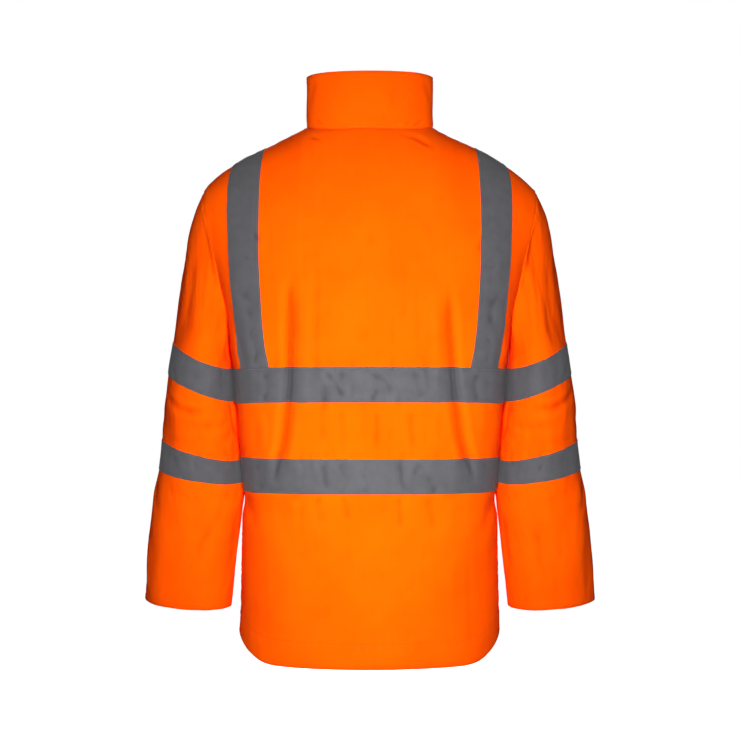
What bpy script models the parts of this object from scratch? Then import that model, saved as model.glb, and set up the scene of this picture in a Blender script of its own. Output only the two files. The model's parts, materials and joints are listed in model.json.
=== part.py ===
"""A hi-vis work jacket, hollow, filled out as if worn with nobody in it.

Metres, +Z up. The jacket faces -Y and its wearer's left is +X. The origin is the middle of the
neck opening, at the height of the back neck seam, where the wearer's shoulders hold it up.

Every piece of cloth is a wall on a grid of points. The body below the armpits goes through level
sections, the part above them through curves from the armpit level to the shoulder seams, with the
neck cut out of it, and each sleeve through curves from its armhole to tilted rings. Tapes are made
from the points of the panels that they are sewn on, moved out.
"""

from typing import NamedTuple

import bmesh
import bpy
import numpy as np

# Cloth and seams
CLOTH = 0.0012  # thickness of a panel's wall
TAPE = 0.0010  # thickness of a reflective tape
GAP = 0.0003  # between two pieces that meet at a seam or lie on each other
NEARBY = 0.0020  # how far apart two points are taken to find which way the cloth runs
SHARP_DEGREES = 40
SAME_WAY = 0.99  # the cosine between two ways above which they count as one
SEAM_REACH = 1.6  # the most that the way out is lengthened where two cloths meet at an angle

# Heights, from the back neck seam down
ARMPIT_Z = -0.3150
UPPER_BAND_TOP_Z = -0.3410
UPPER_BAND_BOTTOM_Z = -0.3905
UPPER_BAND_SIDE_DROP = 0.0050
LOWER_BAND_TOP_Z = -0.4700
LOWER_BAND_BOTTOM_Z = -0.5190
HEM_Z = -0.7625
HEM_SIDE_RISE = 0.0400
HEM_RISE_POWER = 2.4

# Neck seam, an oval seen from above that is cut out of the yoke, and collar
NECK_HALF_WIDTH = 0.0930
NECK_BACK_Y = 0.0650
NECK_SIDE_Y = -0.0050
NECK_FRONT_Y = -0.0950
NECK_SIDE_Z = 0.0090
NECK_SQUARENESS = 2.2
NECK_SEEK_STEPS = 30  # halvings in the search for the seam along a curve of the yoke
COLLAR_TOP_Z = 0.0837
COLLAR_FRONT_HEIGHT = 0.0780
COLLAR_LEAN = 0.0050  # how far the back of the collar leans forward at its top
COLLAR_SIDE_DROP = 0.0030

# Shoulder seam: a curve from the neck point to the shoulder tip
TIP = (0.2383, -0.0050, -0.0817)
SHOULDER_START = (0.1470, 0.0, -0.0830)
SHOULDER_END = (0.1200, 0.0, -0.1350)
BRACE_INNER_SHARE = 0.385  # where the brace's two edges cross the shoulder seam
BRACE_OUTER_SHARE = 0.665

# Braces and zip
BRACE_WIDTH = 0.0500
ZIP_HALF_CHAIN = 0.0030
ZIP_EDGE = 0.0035  # from the middle to the folded edge of each front
ZIP_TAPE_EDGE = 0.0155
ZIP_TAPE = 0.0008


class Section(NamedTuple):
    """A level section of the body, a superellipse with its own depth before and behind."""

    z: float
    half_width: float
    back_depth: float
    front_depth: float
    squareness: float
    brace_inner: float  # length of cloth from the middle to the brace's inner edge


BODY_SECTIONS = (
    Section(-0.775, 0.1892, 0.146, 0.150, 2.1, 0.1410),
    Section(-0.726, 0.1892, 0.145, 0.149, 2.1, 0.1410),
    Section(-0.653, 0.1880, 0.141, 0.146, 2.2, 0.1410),
    Section(-0.594, 0.1868, 0.137, 0.143, 2.4, 0.1410),
    Section(-0.558, 0.1855, 0.134, 0.141, 2.6, 0.1410),
    Section(-0.536, 0.1822, 0.132, 0.139, 2.8, 0.1410),
    Section(-0.510, 0.1832, 0.131, 0.138, 3.0, 0.1410),
    Section(-0.452, 0.1888, 0.131, 0.137, 3.4, 0.1410),
    Section(-0.394, 0.1922, 0.134, 0.136, 3.9, 0.1410),
    Section(-0.345, 0.1950, 0.136, 0.134, 4.2, 0.1410),
    Section(-0.315, 0.2000, 0.138, 0.133, 4.4, 0.1462),
    Section(-0.290, 0.2010, 0.139, 0.133, 4.4, 0.1490),
)


class Swing(NamedTuple):
    """How the cloth leaves the armpit level and reaches the top line, at a column of the body."""

    column: float
    rise: float
    across: float
    over: float
    lift: float


BACK_SWINGS = (
    Swing(0.000, 0.30, 0.000, 0.42, 0.050),
    Swing(0.625, 0.30, 0.000, 0.37, 0.030),
    Swing(1.000, 0.30, -0.020, 0.32, 0.011),
    Swing(2.000, 0.28, -0.060, 0.30, 0.026),
    Swing(3.000, 0.28, -0.050, 0.25, 0.010),
)
FRONT_SWINGS = (
    Swing(0.000, 0.30, 0.000, 0.28, 0.000),
    Swing(0.625, 0.29, 0.000, 0.31, 0.010),
    Swing(1.000, 0.28, -0.030, 0.31, 0.016),
    Swing(2.000, 0.28, -0.060, 0.30, 0.026),
    Swing(3.000, 0.28, -0.050, 0.25, 0.010),
)
NECK_COLUMN = 0.625  # the column that ends at the neck point
ARMHOLE_SCOOP = 0.30  # how strongly the armhole's edge leaves the armpit, backward or forward
ARMHOLE_RISE = 0.22
ARMHOLE_INSET = -0.02
CAP_FULLNESS = 0.75  # how far a sleeve keeps the way it leaves its armhole


class Ring(NamedTuple):
    """A ring of a sleeve: an oval, higher at its outer end and lower at the back."""

    z: float
    x: float
    half_width: float
    y: float
    half_depth: float
    tilt: float
    pitch: float


SLEEVE_RINGS = (
    Ring(-0.688, 0.2686, 0.0636, -0.034, 0.054, 0.08, 0.11),
    Ring(-0.594, 0.2596, 0.0651, -0.022, 0.062, 0.10, 0.11),
    Ring(-0.540, 0.2522, 0.0652, -0.016, 0.066, 0.12, 0.11),
    Ring(-0.498, 0.2484, 0.0604, -0.012, 0.069, 0.16, 0.11),
    Ring(-0.460, 0.2476, 0.0556, -0.008, 0.072, 0.27, 0.11),
    Ring(-0.415, 0.2469, 0.0532, -0.006, 0.076, 0.34, 0.11),
    Ring(-0.369, 0.2455, 0.0481, -0.004, 0.080, 0.41, 0.11),
    Ring(-0.323, 0.2440, 0.0443, -0.002, 0.083, 0.41, 0.11),
)
SLEEVE_BAND_UPPER = (-0.369, -0.323)
SLEEVE_BAND_LOWER = (-0.498, -0.460)
CUFF_Z = -0.688
SLEEVE_SQUARENESS = 2.1


class Heading(NamedTuple):
    """The way a sleeve leaves its armhole, from the underarm (0) to the shoulder tip (1)."""

    share: float
    out: float
    aside: float
    down: float


ARMHOLE_HEADINGS = (
    Heading(0.0, 0.95, 0.00, 0.05),
    Heading(0.5, 0.30, 0.05, 0.95),
    Heading(1.0, 0.54, 0.00, 0.84),
)


class Fold(NamedTuple):
    """A soft trough in the body's cloth, along a curve of (x, z) points from its top down."""

    face: str
    top: tuple
    upper: tuple
    lower: tuple
    bottom: tuple
    width: float
    depth: float


FOLDS = (
    Fold("back", (0.1108, -0.200), (0.1108, -0.341), (0.1205, -0.425), (0.1345, -0.515), 0.012, 0.0050),
    Fold("back", (-0.1088, -0.215), (-0.1144, -0.331), (-0.1290, -0.440), (-0.1440, -0.520), 0.012, 0.0050),
    Fold("front", (0.1000, -0.190), (0.1030, -0.330), (0.1110, -0.430), (0.1240, -0.520), 0.013, 0.0040),
    Fold("front", (-0.0980, -0.200), (-0.1010, -0.330), (-0.1120, -0.440), (-0.1260, -0.530), 0.013, 0.0040),
)

# Rows and columns of the grids
BODY_ROWS = (0.0, 0.25, 0.5, 0.75, 1.0, 1.5, 2.0, 2.5, 3.0, 3.5, 4.0, 5.0)
UPPER_BAND_ROWS = (3.0, 4.0)
LOWER_BAND_ROWS = (1.0, 2.0)
YOKE_STEPS = 8
NECK_STEPS = 5
SHOULDER_STEPS = 2
BRACE_STEPS = 2
SIDE_STEPS = 3
CAP_STEPS = 6
COLLAR_STEPS = 2
SLEEVE_BETWEEN_STEPS = 2
SLEEVE_FOREARM_STEPS = 5
ARC_SAMPLES = 49

# Zip slider and pull tab
SLIDER_BELOW_TOP = 0.0150
SLIDER_WIDTH = 0.0090
SLIDER_LENGTH = 0.0130
SLIDER_THICKNESS = 0.0016
SLIDER_NECK_SHARE = 0.7  # of its half width, at both ends
SLIDER_WIDEST_SHARE = 0.4  # of its half length, up from the middle
JOIN_DEPTH = 0.0003  # how far parts of one cast piece run into each other
BRIDGE_WIDTH = 0.0020
BRIDGE_LENGTH = 0.0060
BRIDGE_HEIGHT = 0.0030
BRIDGE_WALL = 0.0008
PIN_RADIUS = 0.0005
PIN_HEIGHT = 0.0011  # of the pin's axis over the slider's face
TAB_ARM_INNER = 0.0016
TAB_HALF_WIDTH = 0.0030
TAB_LENGTH = 0.0260
TAB_THICKNESS = 0.0010
TAB_WINDOW = 0.0045  # from the pin's axis to the end of the window between the arms
TAB_TIP_HALF_WIDTH = 0.0038

BACK, FRONT = "back", "front"
LEFT, RIGHT = 1.0, -1.0
FACING = {BACK: 1.0, FRONT: -1.0}


class Finish(NamedTuple):
    """A piece's colour, roughness and metallic value."""

    color: tuple
    roughness: float
    metallic: float


ORANGE_CLOTH = Finish((0.95, 0.16, 0.004, 1.0), 0.75, 0.0)
GREY_TAPE = Finish((0.17, 0.17, 0.18, 1.0), 0.45, 0.3)
ZIP_CLOTH = Finish((0.85, 0.13, 0.004, 1.0), 0.8, 0.0)
ZIP_METAL = Finish((0.55, 0.55, 0.56, 1.0), 0.35, 1.0)


class Sheet(NamedTuple):
    """A grid of points in the middle of a cloth's wall, and the way out of it at each point."""

    points: np.ndarray
    out: np.ndarray
    closed: bool = False


def hermite(start, end, leaving, arriving, share):
    """The point at a share from 0 to 1 of a cubic with the given ends and end tangents."""
    square, cube = share**2, share**3
    return (
        start * (2 * cube - 3 * square + 1)
        + end * (3 * square - 2 * cube)
        + leaving * (cube - 2 * square + share)
        + arriving * (cube - square)
    )


def through(places, values, at, level_start=False):
    """A smooth curve through values at rising places, with no overshoot, read at any place."""
    places, values = np.asarray(places, float), np.asarray(values, float)
    steps = np.diff(places)
    slopes = np.diff(values) / steps
    both = slopes[:-1] * slopes[1:]
    total = np.where(both > 0, slopes[:-1] + slopes[1:], 1.0)
    inner = np.where(both > 0, 2 * both / total, 0.0)
    tangents = np.concatenate([slopes[:1] * (not level_start), inner, slopes[-1:]])
    at = np.clip(at, places[0], places[-1])
    i = np.clip(np.searchsorted(places, at) - 1, 0, len(steps) - 1)
    step = steps[i]
    share = (at - places[i]) / step
    return hermite(values[i], values[i + 1], tangents[i] * step, tangents[i + 1] * step, share)


def column_of(table, name, at, level_start=False):
    """One column of a table, read at any value of the table's first column."""
    return through([row[0] for row in table], [getattr(row, name) for row in table], at, level_start)


def unit(vectors):
    return vectors / np.maximum(np.linalg.norm(vectors, axis=-1, keepdims=True), 1e-12)


def oval(half_width, depth, squareness, angle):
    """Points at angles from the middle (0) to the side (a quarter turn) of a superellipse."""
    sine, cosine = np.sin(angle), np.cos(angle)
    radius = ((sine / half_width) ** squareness + (cosine / depth) ** squareness) ** (-1 / squareness)
    return radius * sine, radius * cosine


def arc_table(half_width, depth, squareness):
    """A quarter superellipse as many short chords: its points and the length up to each."""
    angle = np.linspace(0, np.pi / 2, ARC_SAMPLES)
    x, y = oval(half_width[..., None], depth[..., None], squareness[..., None], angle)
    chord = np.hypot(np.diff(x, axis=-1), np.diff(y, axis=-1))
    length = np.concatenate([np.zeros_like(chord[..., :1]), np.cumsum(chord, axis=-1)], axis=-1)
    return x, y, length


def at_length(x, y, length, wanted):
    """The points of arc_table's chords at a wanted length from the middle."""
    i = np.clip((length < wanted[..., None]).sum(-1) - 1, 0, ARC_SAMPLES - 2)[..., None]
    low, high = np.take_along_axis(length, i, -1), np.take_along_axis(length, i + 1, -1)
    share = (wanted[..., None] - low) / (high - low)

    def read(values):
        first, second = np.take_along_axis(values, i, -1), np.take_along_axis(values, i + 1, -1)
        return (first + (second - first) * share)[..., 0]

    return read(x), read(y)


def body_point(face, column, z):
    """A point of the body below the armpits. Columns are 0 at the middle, 1 and 2 at the brace's
    edges and 3 at the side seam."""
    column, z = np.broadcast_arrays(np.asarray(column, float), np.asarray(z, float))
    depth = column_of(BODY_SECTIONS, "back_depth" if face == BACK else "front_depth", z)
    x, y, length = arc_table(
        column_of(BODY_SECTIONS, "half_width", z), depth, column_of(BODY_SECTIONS, "squareness", z)
    )
    start = 0.0 if face == BACK else ZIP_EDGE
    inner = column_of(BODY_SECTIONS, "brace_inner", z)
    outer = inner + BRACE_WIDTH
    wanted = np.where(
        column < 1,
        start + (inner - start) * column,
        np.where(
            column < 2,
            inner + BRACE_WIDTH * (column - 1),
            outer + (length[..., -1] - outer) * (column - 2),
        ),
    )
    x, y = at_length(x, y, length, wanted)
    return np.stack([x, y * FACING[face], z], -1)


def body_height(column, row):
    """The height of a row of the body: 0 is the hem, 1 to 4 the bands' edges, 5 the armpits."""
    share = np.clip(column / 3, 0, 1)
    hem = HEM_Z + HEM_SIDE_RISE * np.sin(np.pi / 2 * share**HEM_RISE_POWER) ** 2
    drop = UPPER_BAND_SIDE_DROP * share**2
    levels = np.stack(
        np.broadcast_arrays(
            hem,
            LOWER_BAND_BOTTOM_Z,
            LOWER_BAND_TOP_Z,
            UPPER_BAND_BOTTOM_Z - drop,
            UPPER_BAND_TOP_Z - drop,
            ARMPIT_Z,
        )
    )
    i = np.clip(np.floor(row).astype(int), 0, 4)
    low = np.take_along_axis(levels, i[None], 0)[0]
    high = np.take_along_axis(levels, i[None] + 1, 0)[0]
    return low + (high - low) * (row - i)


def shoulder_point(share):
    """A point of the shoulder seam, from the neck point (0) to the shoulder tip (1)."""
    start = np.array([NECK_HALF_WIDTH, NECK_SIDE_Y, NECK_SIDE_Z])
    share = np.asarray(share, float)[..., None]
    return hermite(start, np.array(TIP), np.array(SHOULDER_START), np.array(SHOULDER_END), share)


def ridge_point(face, column):
    """A point of the line that the yoke's curves rise to: the shoulder seam, and between the two
    neck points the arch over the neck opening that carries its slope on."""
    column = np.asarray(column, float)
    along = np.interp(column, [NECK_COLUMN, 1, 2, 3], [0, BRACE_INNER_SHARE, BRACE_OUTER_SHARE, 1])
    start = 0.0 if face == BACK else ZIP_EDGE
    x = start + (NECK_HALF_WIDTH - start) * np.clip(column / NECK_COLUMN, 0, 1)
    slope = -SHOULDER_START[2] / SHOULDER_START[0]
    z = NECK_SIDE_Z + slope * (NECK_HALF_WIDTH**2 - x**2) / (2 * NECK_HALF_WIDTH)
    arch = np.stack([x, np.full(x.shape, NECK_SIDE_Y), z], -1)
    return np.where((column < NECK_COLUMN)[..., None], arch, shoulder_point(along))


def ridge_curve(face, column, share):
    """A point on the curve of a column from the armpit level (0) to the ridge line (1)."""
    column, share = np.broadcast_arrays(np.asarray(column, float), np.asarray(share, float))
    swings = BACK_SWINGS if face == BACK else FRONT_SWINGS
    base = body_point(face, column, ARMPIT_Z)
    up = unit(base - body_point(face, column, ARMPIT_Z - NEARBY))
    inward = unit(body_point(face, column - NEARBY, ARMPIT_Z) - base)
    turn = np.clip(column - 2, 0, 1)[..., None]
    rise = column_of(swings, "rise", column)[..., None]
    scoop = inward * ARMHOLE_SCOOP + up * ARMHOLE_RISE + np.array([ARMHOLE_INSET, 0, 0])
    leaving = up * rise * (1 - turn) + scoop * turn
    arriving = np.stack(
        [
            column_of(swings, "across", column),
            -FACING[face] * column_of(swings, "over", column, True),
            column_of(swings, "lift", column, True),
        ],
        -1,
    )
    return hermite(base, ridge_point(face, column), leaving, arriving, share[..., None])


def seam_share(face, column):
    """How far along its curve a column meets the neck seam, or 1 where it ends at the shoulder."""
    depth = abs((NECK_BACK_Y if face == BACK else NECK_FRONT_Y) - NECK_SIDE_Y)
    low, high = np.zeros(np.shape(column)), np.ones(np.shape(column))
    for _ in range(NECK_SEEK_STEPS):
        middle = (low + high) / 2
        point = ridge_curve(face, column, middle)
        across, deep = point[..., 0] / NECK_HALF_WIDTH, np.abs(point[..., 1] - NECK_SIDE_Y) / depth
        outside = across**NECK_SQUARENESS + deep**NECK_SQUARENESS > 1
        low, high = np.where(outside, middle, low), np.where(outside, high, middle)
    return np.where(column < NECK_COLUMN, high, 1.0)


def yoke_point(face, column, share):
    """A point above the armpits, from the armpit level (0) to the neck or shoulder seam (1)."""
    column, share = np.broadcast_arrays(np.asarray(column, float), np.asarray(share, float))
    return ridge_curve(face, column, share * seam_share(face, column))


def torso_point(face, column, row):
    """A point of the body at any column and row. Rows 5 to 6 are the part above the armpits."""
    column, row = np.broadcast_arrays(np.asarray(column, float), np.asarray(row, float))
    below = body_point(face, column, body_height(column, np.minimum(row, 5)))
    above = yoke_point(face, column, np.clip(row - 5, 0, 1))
    return np.where((row <= 5)[..., None], below, above)


def outward(points, closed, facing):
    """The way out of a grid at each point; facing is 1 or -1, as the grid is laid out."""
    if closed:
        across = np.roll(points, -1, 1) - np.roll(points, 1, 1)
    else:
        across = np.gradient(points, axis=1)
    return facing * unit(np.cross(np.gradient(points, axis=0), across))


def fold_depth(fold, x, z):
    """How far a fold sinks the cloth at the places (x, z)."""
    path = (fold.bottom, fold.lower, fold.upper, fold.top)
    middle = through([p[1] for p in path], [p[0] for p in path], z)
    share = np.clip((z - fold.bottom[1]) / (fold.top[1] - fold.bottom[1]), 0, 1)
    return fold.depth * np.exp(-(((x - middle) / fold.width) ** 2)) * np.sqrt(np.sin(np.pi * share))


def folded(face, points, out):
    sunk = sum(fold_depth(fold, points[..., 0], points[..., 2]) for fold in FOLDS if fold.face == face)
    return points - out * sunk[..., None]


def body_columns():
    """The columns of half the body, from the middle to the side."""
    neck = np.linspace(0, NECK_COLUMN, NECK_STEPS + 1)
    shoulder = np.linspace(NECK_COLUMN, 1, SHOULDER_STEPS + 1)
    brace = np.linspace(1, 2, BRACE_STEPS + 1)
    side = np.linspace(2, 3, SIDE_STEPS + 1)
    return np.concatenate([neck, shoulder[1:], brace[1:], side[1:]])


def front_columns():
    """The columns of a front, with one more beside its folded edge, at the zip tape's edge."""
    whole = body_columns()
    inner = BODY_SECTIONS[0].brace_inner
    return np.insert(whole, 1, (ZIP_TAPE_EDGE - ZIP_EDGE) / (inner - ZIP_EDGE))


def body_rows():
    yoke = 5 + np.linspace(0, 1, YOKE_STEPS + 1)
    return np.concatenate([BODY_ROWS, yoke[1:]])


def torso_sheet(face, columns, sides):
    """A sheet of the body over columns, each on the side given for it: 1 left, -1 right."""
    column, row = np.meshgrid(columns, body_rows())
    points = torso_point(face, column, row)
    points[..., 0] *= sides
    facing = FACING[face] * np.sign(points[0, -1, 0] - points[0, 0, 0])
    points = folded(face, points, outward(points, False, facing))
    return Sheet(points, outward(points, False, facing))


def sleeve_ring(share, around, z):
    """A point of a sleeve's ring. share is 0 at the underarm and 1 at the outer end, and around
    is 1 on the back half and -1 on the front half."""
    half_width = column_of(SLEEVE_RINGS, "half_width", z)
    half_depth = column_of(SLEEVE_RINGS, "half_depth", z)
    squareness = np.full(z.shape, SLEEVE_SQUARENESS)
    x, y, length = arc_table(half_width, half_depth, squareness)
    total = length[..., -1]
    wanted = np.clip(2 * share, 0, 2) * total
    inner = wanted < total
    across, deep = at_length(x, y, length, np.where(inner, total - wanted, wanted - total))
    across = np.where(inner, -across, across)
    deep = deep * around
    tilt, pitch = column_of(SLEEVE_RINGS, "tilt", z), column_of(SLEEVE_RINGS, "pitch", z)
    return np.stack(
        [
            column_of(SLEEVE_RINGS, "x", z) + across,
            column_of(SLEEVE_RINGS, "y", z) + deep,
            z + tilt * across - pitch * deep,
        ],
        -1,
    )


def armhole_half(face):
    """The armhole's edge on one face: shares of its height steps, its points, and the share of
    its length up to each."""
    steps = np.linspace(0, 1, YOKE_STEPS + 1)
    points = yoke_point(face, 3.0, steps)
    chord = np.linalg.norm(np.diff(points, axis=0), axis=-1)
    length = np.concatenate([[0], np.cumsum(chord)])
    return steps, points, length / length[-1]


def armhole_loop():
    """The whole armhole, from the underarm up the back, over the tip and down the front."""
    steps, back, back_share = armhole_half(BACK)
    _, front, front_share = armhole_half(FRONT)
    keep = slice(-2, 0, -1)
    return (
        np.concatenate([steps, steps[keep]]),
        np.concatenate([back, front[keep]]),
        np.concatenate([back_share, front_share[keep]]),
        np.concatenate([np.ones(len(steps)), -np.ones(len(steps) - 2)]),
    )


def sleeve_heights():
    """The heights of a sleeve's rings below its cap, at their middles, from the top down."""
    upper_low, upper_high = SLEEVE_BAND_UPPER
    lower_low, lower_high = SLEEVE_BAND_LOWER
    return np.concatenate(
        [
            np.linspace(upper_high, upper_low, 3),
            np.linspace(upper_low, lower_high, SLEEVE_BETWEEN_STEPS + 1)[1:],
            np.linspace(lower_high, lower_low, 3)[1:],
            np.linspace(lower_low, CUFF_Z, SLEEVE_FOREARM_STEPS + 1)[1:],
        ]
    )


def sleeve_sheet(side):
    """A sleeve from its armhole down to its cuff, closed around."""
    steps, armhole, share, around = armhole_loop()
    top = np.full(share.shape, SLEEVE_BAND_UPPER[1])
    ring = sleeve_ring(share, around, top)
    down = unit(sleeve_ring(share, around, top - NEARBY) - ring)
    reach = np.linalg.norm(ring - armhole, axis=-1, keepdims=True)
    heading = np.stack(
        [
            column_of(ARMHOLE_HEADINGS, "out", steps),
            around * column_of(ARMHOLE_HEADINGS, "aside", steps),
            -column_of(ARMHOLE_HEADINGS, "down", steps),
        ],
        -1,
    )
    cap = [
        hermite(armhole, ring, unit(heading) * reach * CAP_FULLNESS, down * reach, step / CAP_STEPS)
        for step in range(CAP_STEPS)
    ]
    tube = [sleeve_ring(share, around, np.full(share.shape, z)) for z in sleeve_heights()]
    points = np.array(cap + tube)
    points[..., 0] *= side
    return Sheet(points, outward(points, True, -side), True)


def collar_sheet():
    """The stand collar, from the right front edge round the back to the left front edge."""
    front = yoke_point(FRONT, front_columns()[: NECK_STEPS + 2], 1.0)
    back = yoke_point(BACK, body_columns()[: NECK_STEPS + 1], 1.0)
    half = np.concatenate([front, back[-2::-1]])
    mirrored = half[-2::-1] * np.array([-1, 1, 1])
    base = np.concatenate([half, mirrored])[::-1]
    behind = np.clip((base[:, 1] - NECK_SIDE_Y) / (NECK_BACK_Y - NECK_SIDE_Y), 0, 1)
    before = np.clip((base[:, 1] - NECK_SIDE_Y) / (NECK_FRONT_Y - NECK_SIDE_Y), 0, 1)
    side_height = COLLAR_TOP_Z - COLLAR_SIDE_DROP - NECK_SIDE_Z
    back_height = COLLAR_TOP_Z - COLLAR_SIDE_DROP * (1 - behind) ** 2 - base[:, 2]
    front_height = side_height + (COLLAR_FRONT_HEIGHT - side_height) * before
    height = np.where(before > 0, front_height, back_height)
    top = base + np.stack([0 * height, -COLLAR_LEAN * behind, height], -1)
    levels = np.linspace(0, 1, COLLAR_STEPS + 1)[:, None, None]
    points = base + (top - base) * levels
    return Sheet(points, outward(points, False, 1.0))


def share_seam_ways(sheets):
    """Gives the points that sheets share at a seam one way out, between the ways of their cloths
    and as much longer as keeps both walls near their thickness there. Equal ways count once."""
    met = {}
    for sheet in sheets:
        for point, way in zip(sheet.points.reshape(-1, 3), sheet.out.reshape(-1, 3)):
            ways = met.setdefault(tuple(np.round(point, 5)), [])
            if all(np.dot(way, other) < SAME_WAY for other in ways):
                ways.append(way.copy())
    for sheet in sheets:
        flat = sheet.out.reshape(-1, 3)
        for i, point in enumerate(sheet.points.reshape(-1, 3)):
            ways = np.array(met[tuple(np.round(point, 5))])
            between = unit(ways.sum(axis=0))
            flat[i] = between * min(1 / np.mean(ways @ between), SEAM_REACH)


def inward_shift(edge, beside, out, closed, by):
    """How far each point of an edge moves for its cloth to end that much further in, also at a
    corner, where it clears both of the lines that meet there."""
    shifts = []
    last = len(edge) - 1
    for i, point in enumerate(edge):
        before = edge[i - 1] if i or closed else point
        after = edge[(i + 1) % (last + 1)] if i < last or closed else point
        ways = []
        for line in (point - before, after - point):
            if np.linalg.norm(line) > 0:
                square = unit(np.cross(line, out[i]))
                ways.append(square * np.sign(np.dot(square, beside[i] - point)))
        first, second = ways[0], ways[-1]
        shifts.append((first + second) * by / (1 + np.dot(first, second)))
    return np.array(shifts)


def drawn_back(sheet, by=GAP / 2):
    """The sheet with its edges drawn back along the cloth, so that two pieces clear each other."""
    points, out = sheet.points.copy(), sheet.out
    rows, columns = sheet.points, sheet.points.swapaxes(0, 1)
    for line, beside in ((0, 1), (-1, -2)):
        points[line] += inward_shift(rows[line], rows[beside], out[line], sheet.closed, by)
        if not sheet.closed:
            points[:, line] += inward_shift(columns[line], columns[beside], out[:, line], False, by)
    return Sheet(points, out, sheet.closed)


def part_of(sheet, rows, columns=slice(None)):
    return Sheet(sheet.points[rows, columns], sheet.out[rows, columns], sheet.closed)


def grid_faces(points, closed):
    """Triangles over a grid, each cell split along its shorter diagonal."""
    rows, columns = points.shape[:2]
    faces = []
    for i in range(rows - 1):
        for j in range(columns if closed else columns - 1):
            right = (j + 1) % columns
            a, b, c, d = (i, j), (i, right), (i + 1, right), (i + 1, j)
            if np.linalg.norm(points[a] - points[c]) <= np.linalg.norm(points[b] - points[d]):
                faces += [(a, b, c), (a, c, d)]
            else:
                faces += [(a, b, d), (b, c, d)]
    return [tuple(row * columns + column for row, column in face) for face in faces]


def rim_edges(rows, columns, closed):
    """The edges round a grid, as pairs of vertex numbers."""
    line = [(j, (j + 1) % columns) for j in range(columns if closed else columns - 1)]
    last = (rows - 1) * columns
    edges = line + [(last + a, last + b) for a, b in line]
    if not closed:
        for i in range(rows - 1):
            edges += [(i * columns, (i + 1) * columns)]
            edges += [(i * columns + columns - 1, (i + 1) * columns + columns - 1)]
    return edges


def finish_of(name, finish):
    material = bpy.data.materials.new(name)
    material.use_nodes = True
    material.diffuse_color = finish.color
    shader = material.node_tree.nodes["Principled BSDF"]
    shader.inputs["Base Color"].default_value = finish.color
    shader.inputs["Roughness"].default_value = finish.roughness
    shader.inputs["Metallic"].default_value = finish.metallic
    return material


def solid(name, vertices, faces, finish, origin=(0.0, 0.0, 0.0), smooth=True):
    """An object from points and faces, its faces turned outward and its origin where asked."""
    shape = bmesh.new()
    made = [shape.verts.new(np.asarray(vertex, float) - np.asarray(origin)) for vertex in vertices]
    for face in faces:
        shape.faces.new([made[i] for i in face])
    bmesh.ops.recalc_face_normals(shape, faces=shape.faces)
    mesh = bpy.data.meshes.new(name)
    shape.to_mesh(mesh)
    shape.free()
    if smooth:
        mesh.shade_smooth()
        mesh.set_sharp_from_angle(angle=np.radians(SHARP_DEGREES))
    mesh.materials.append(finish_of(name, finish))
    piece = bpy.data.objects.new(name, mesh)
    piece.location = origin
    bpy.context.scene.collection.objects.link(piece)
    return piece


def wall(name, sheet, inner, outer, finish):
    """A closed wall on a sheet, from one distance out of its middle to another."""
    rows, columns = sheet.points.shape[:2]
    count = rows * columns
    vertices = np.concatenate(
        [(sheet.points + sheet.out * distance).reshape(-1, 3) for distance in (outer, inner)]
    )
    skin = grid_faces(sheet.points, sheet.closed)
    faces = skin + [tuple(count + i for i in face[::-1]) for face in skin]
    for edge in rim_edges(rows, columns, sheet.closed):
        low, high = sorted(edge, key=lambda i: vertices[i][2])
        faces += [(low, high, high + count), (low, high + count, low + count)]
    return solid(name, vertices, faces, finish)


def panel(name, sheet):
    return wall(name, drawn_back(sheet), -CLOTH / 2, CLOTH / 2, ORANGE_CLOTH)


def tape(name, sheet):
    lowest = CLOTH / 2 + GAP
    return wall(name, drawn_back(sheet), lowest, lowest + TAPE, GREY_TAPE)


def row_slice(rows):
    """The rows of a torso sheet from one edge of a band to the other."""
    first, last = (int(np.searchsorted(body_rows(), row)) for row in rows)
    return slice(first, last + 1)


def brace_sheet(back, back_columns, front, front_columns_used):
    """The strip over a shoulder, from the upper band behind to the upper band in front."""
    start = row_slice(UPPER_BAND_ROWS).stop - 1
    behind = part_of(back, slice(start, None), back_columns)
    before = part_of(front, slice(-2, start - 1, -1), front_columns_used)
    return Sheet(
        np.concatenate([behind.points, before.points]), np.concatenate([behind.out, before.out])
    )


def zip_section():
    """The zip's section: two tape wings inside the fronts, and the chain between their edges.
    Each corner is a distance across and a distance out of the fronts' middle surface."""
    tape_face = -CLOTH / 2 - GAP
    tape_back = tape_face - ZIP_TAPE
    chain_face = CLOTH / 2
    half = [
        (ZIP_TAPE_EDGE, tape_back),
        (ZIP_TAPE_EDGE, tape_face),
        (ZIP_HALF_CHAIN, tape_face),
        (ZIP_HALF_CHAIN, chain_face),
    ]
    return half + [(-across, out) for across, out in half[::-1]]


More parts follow.
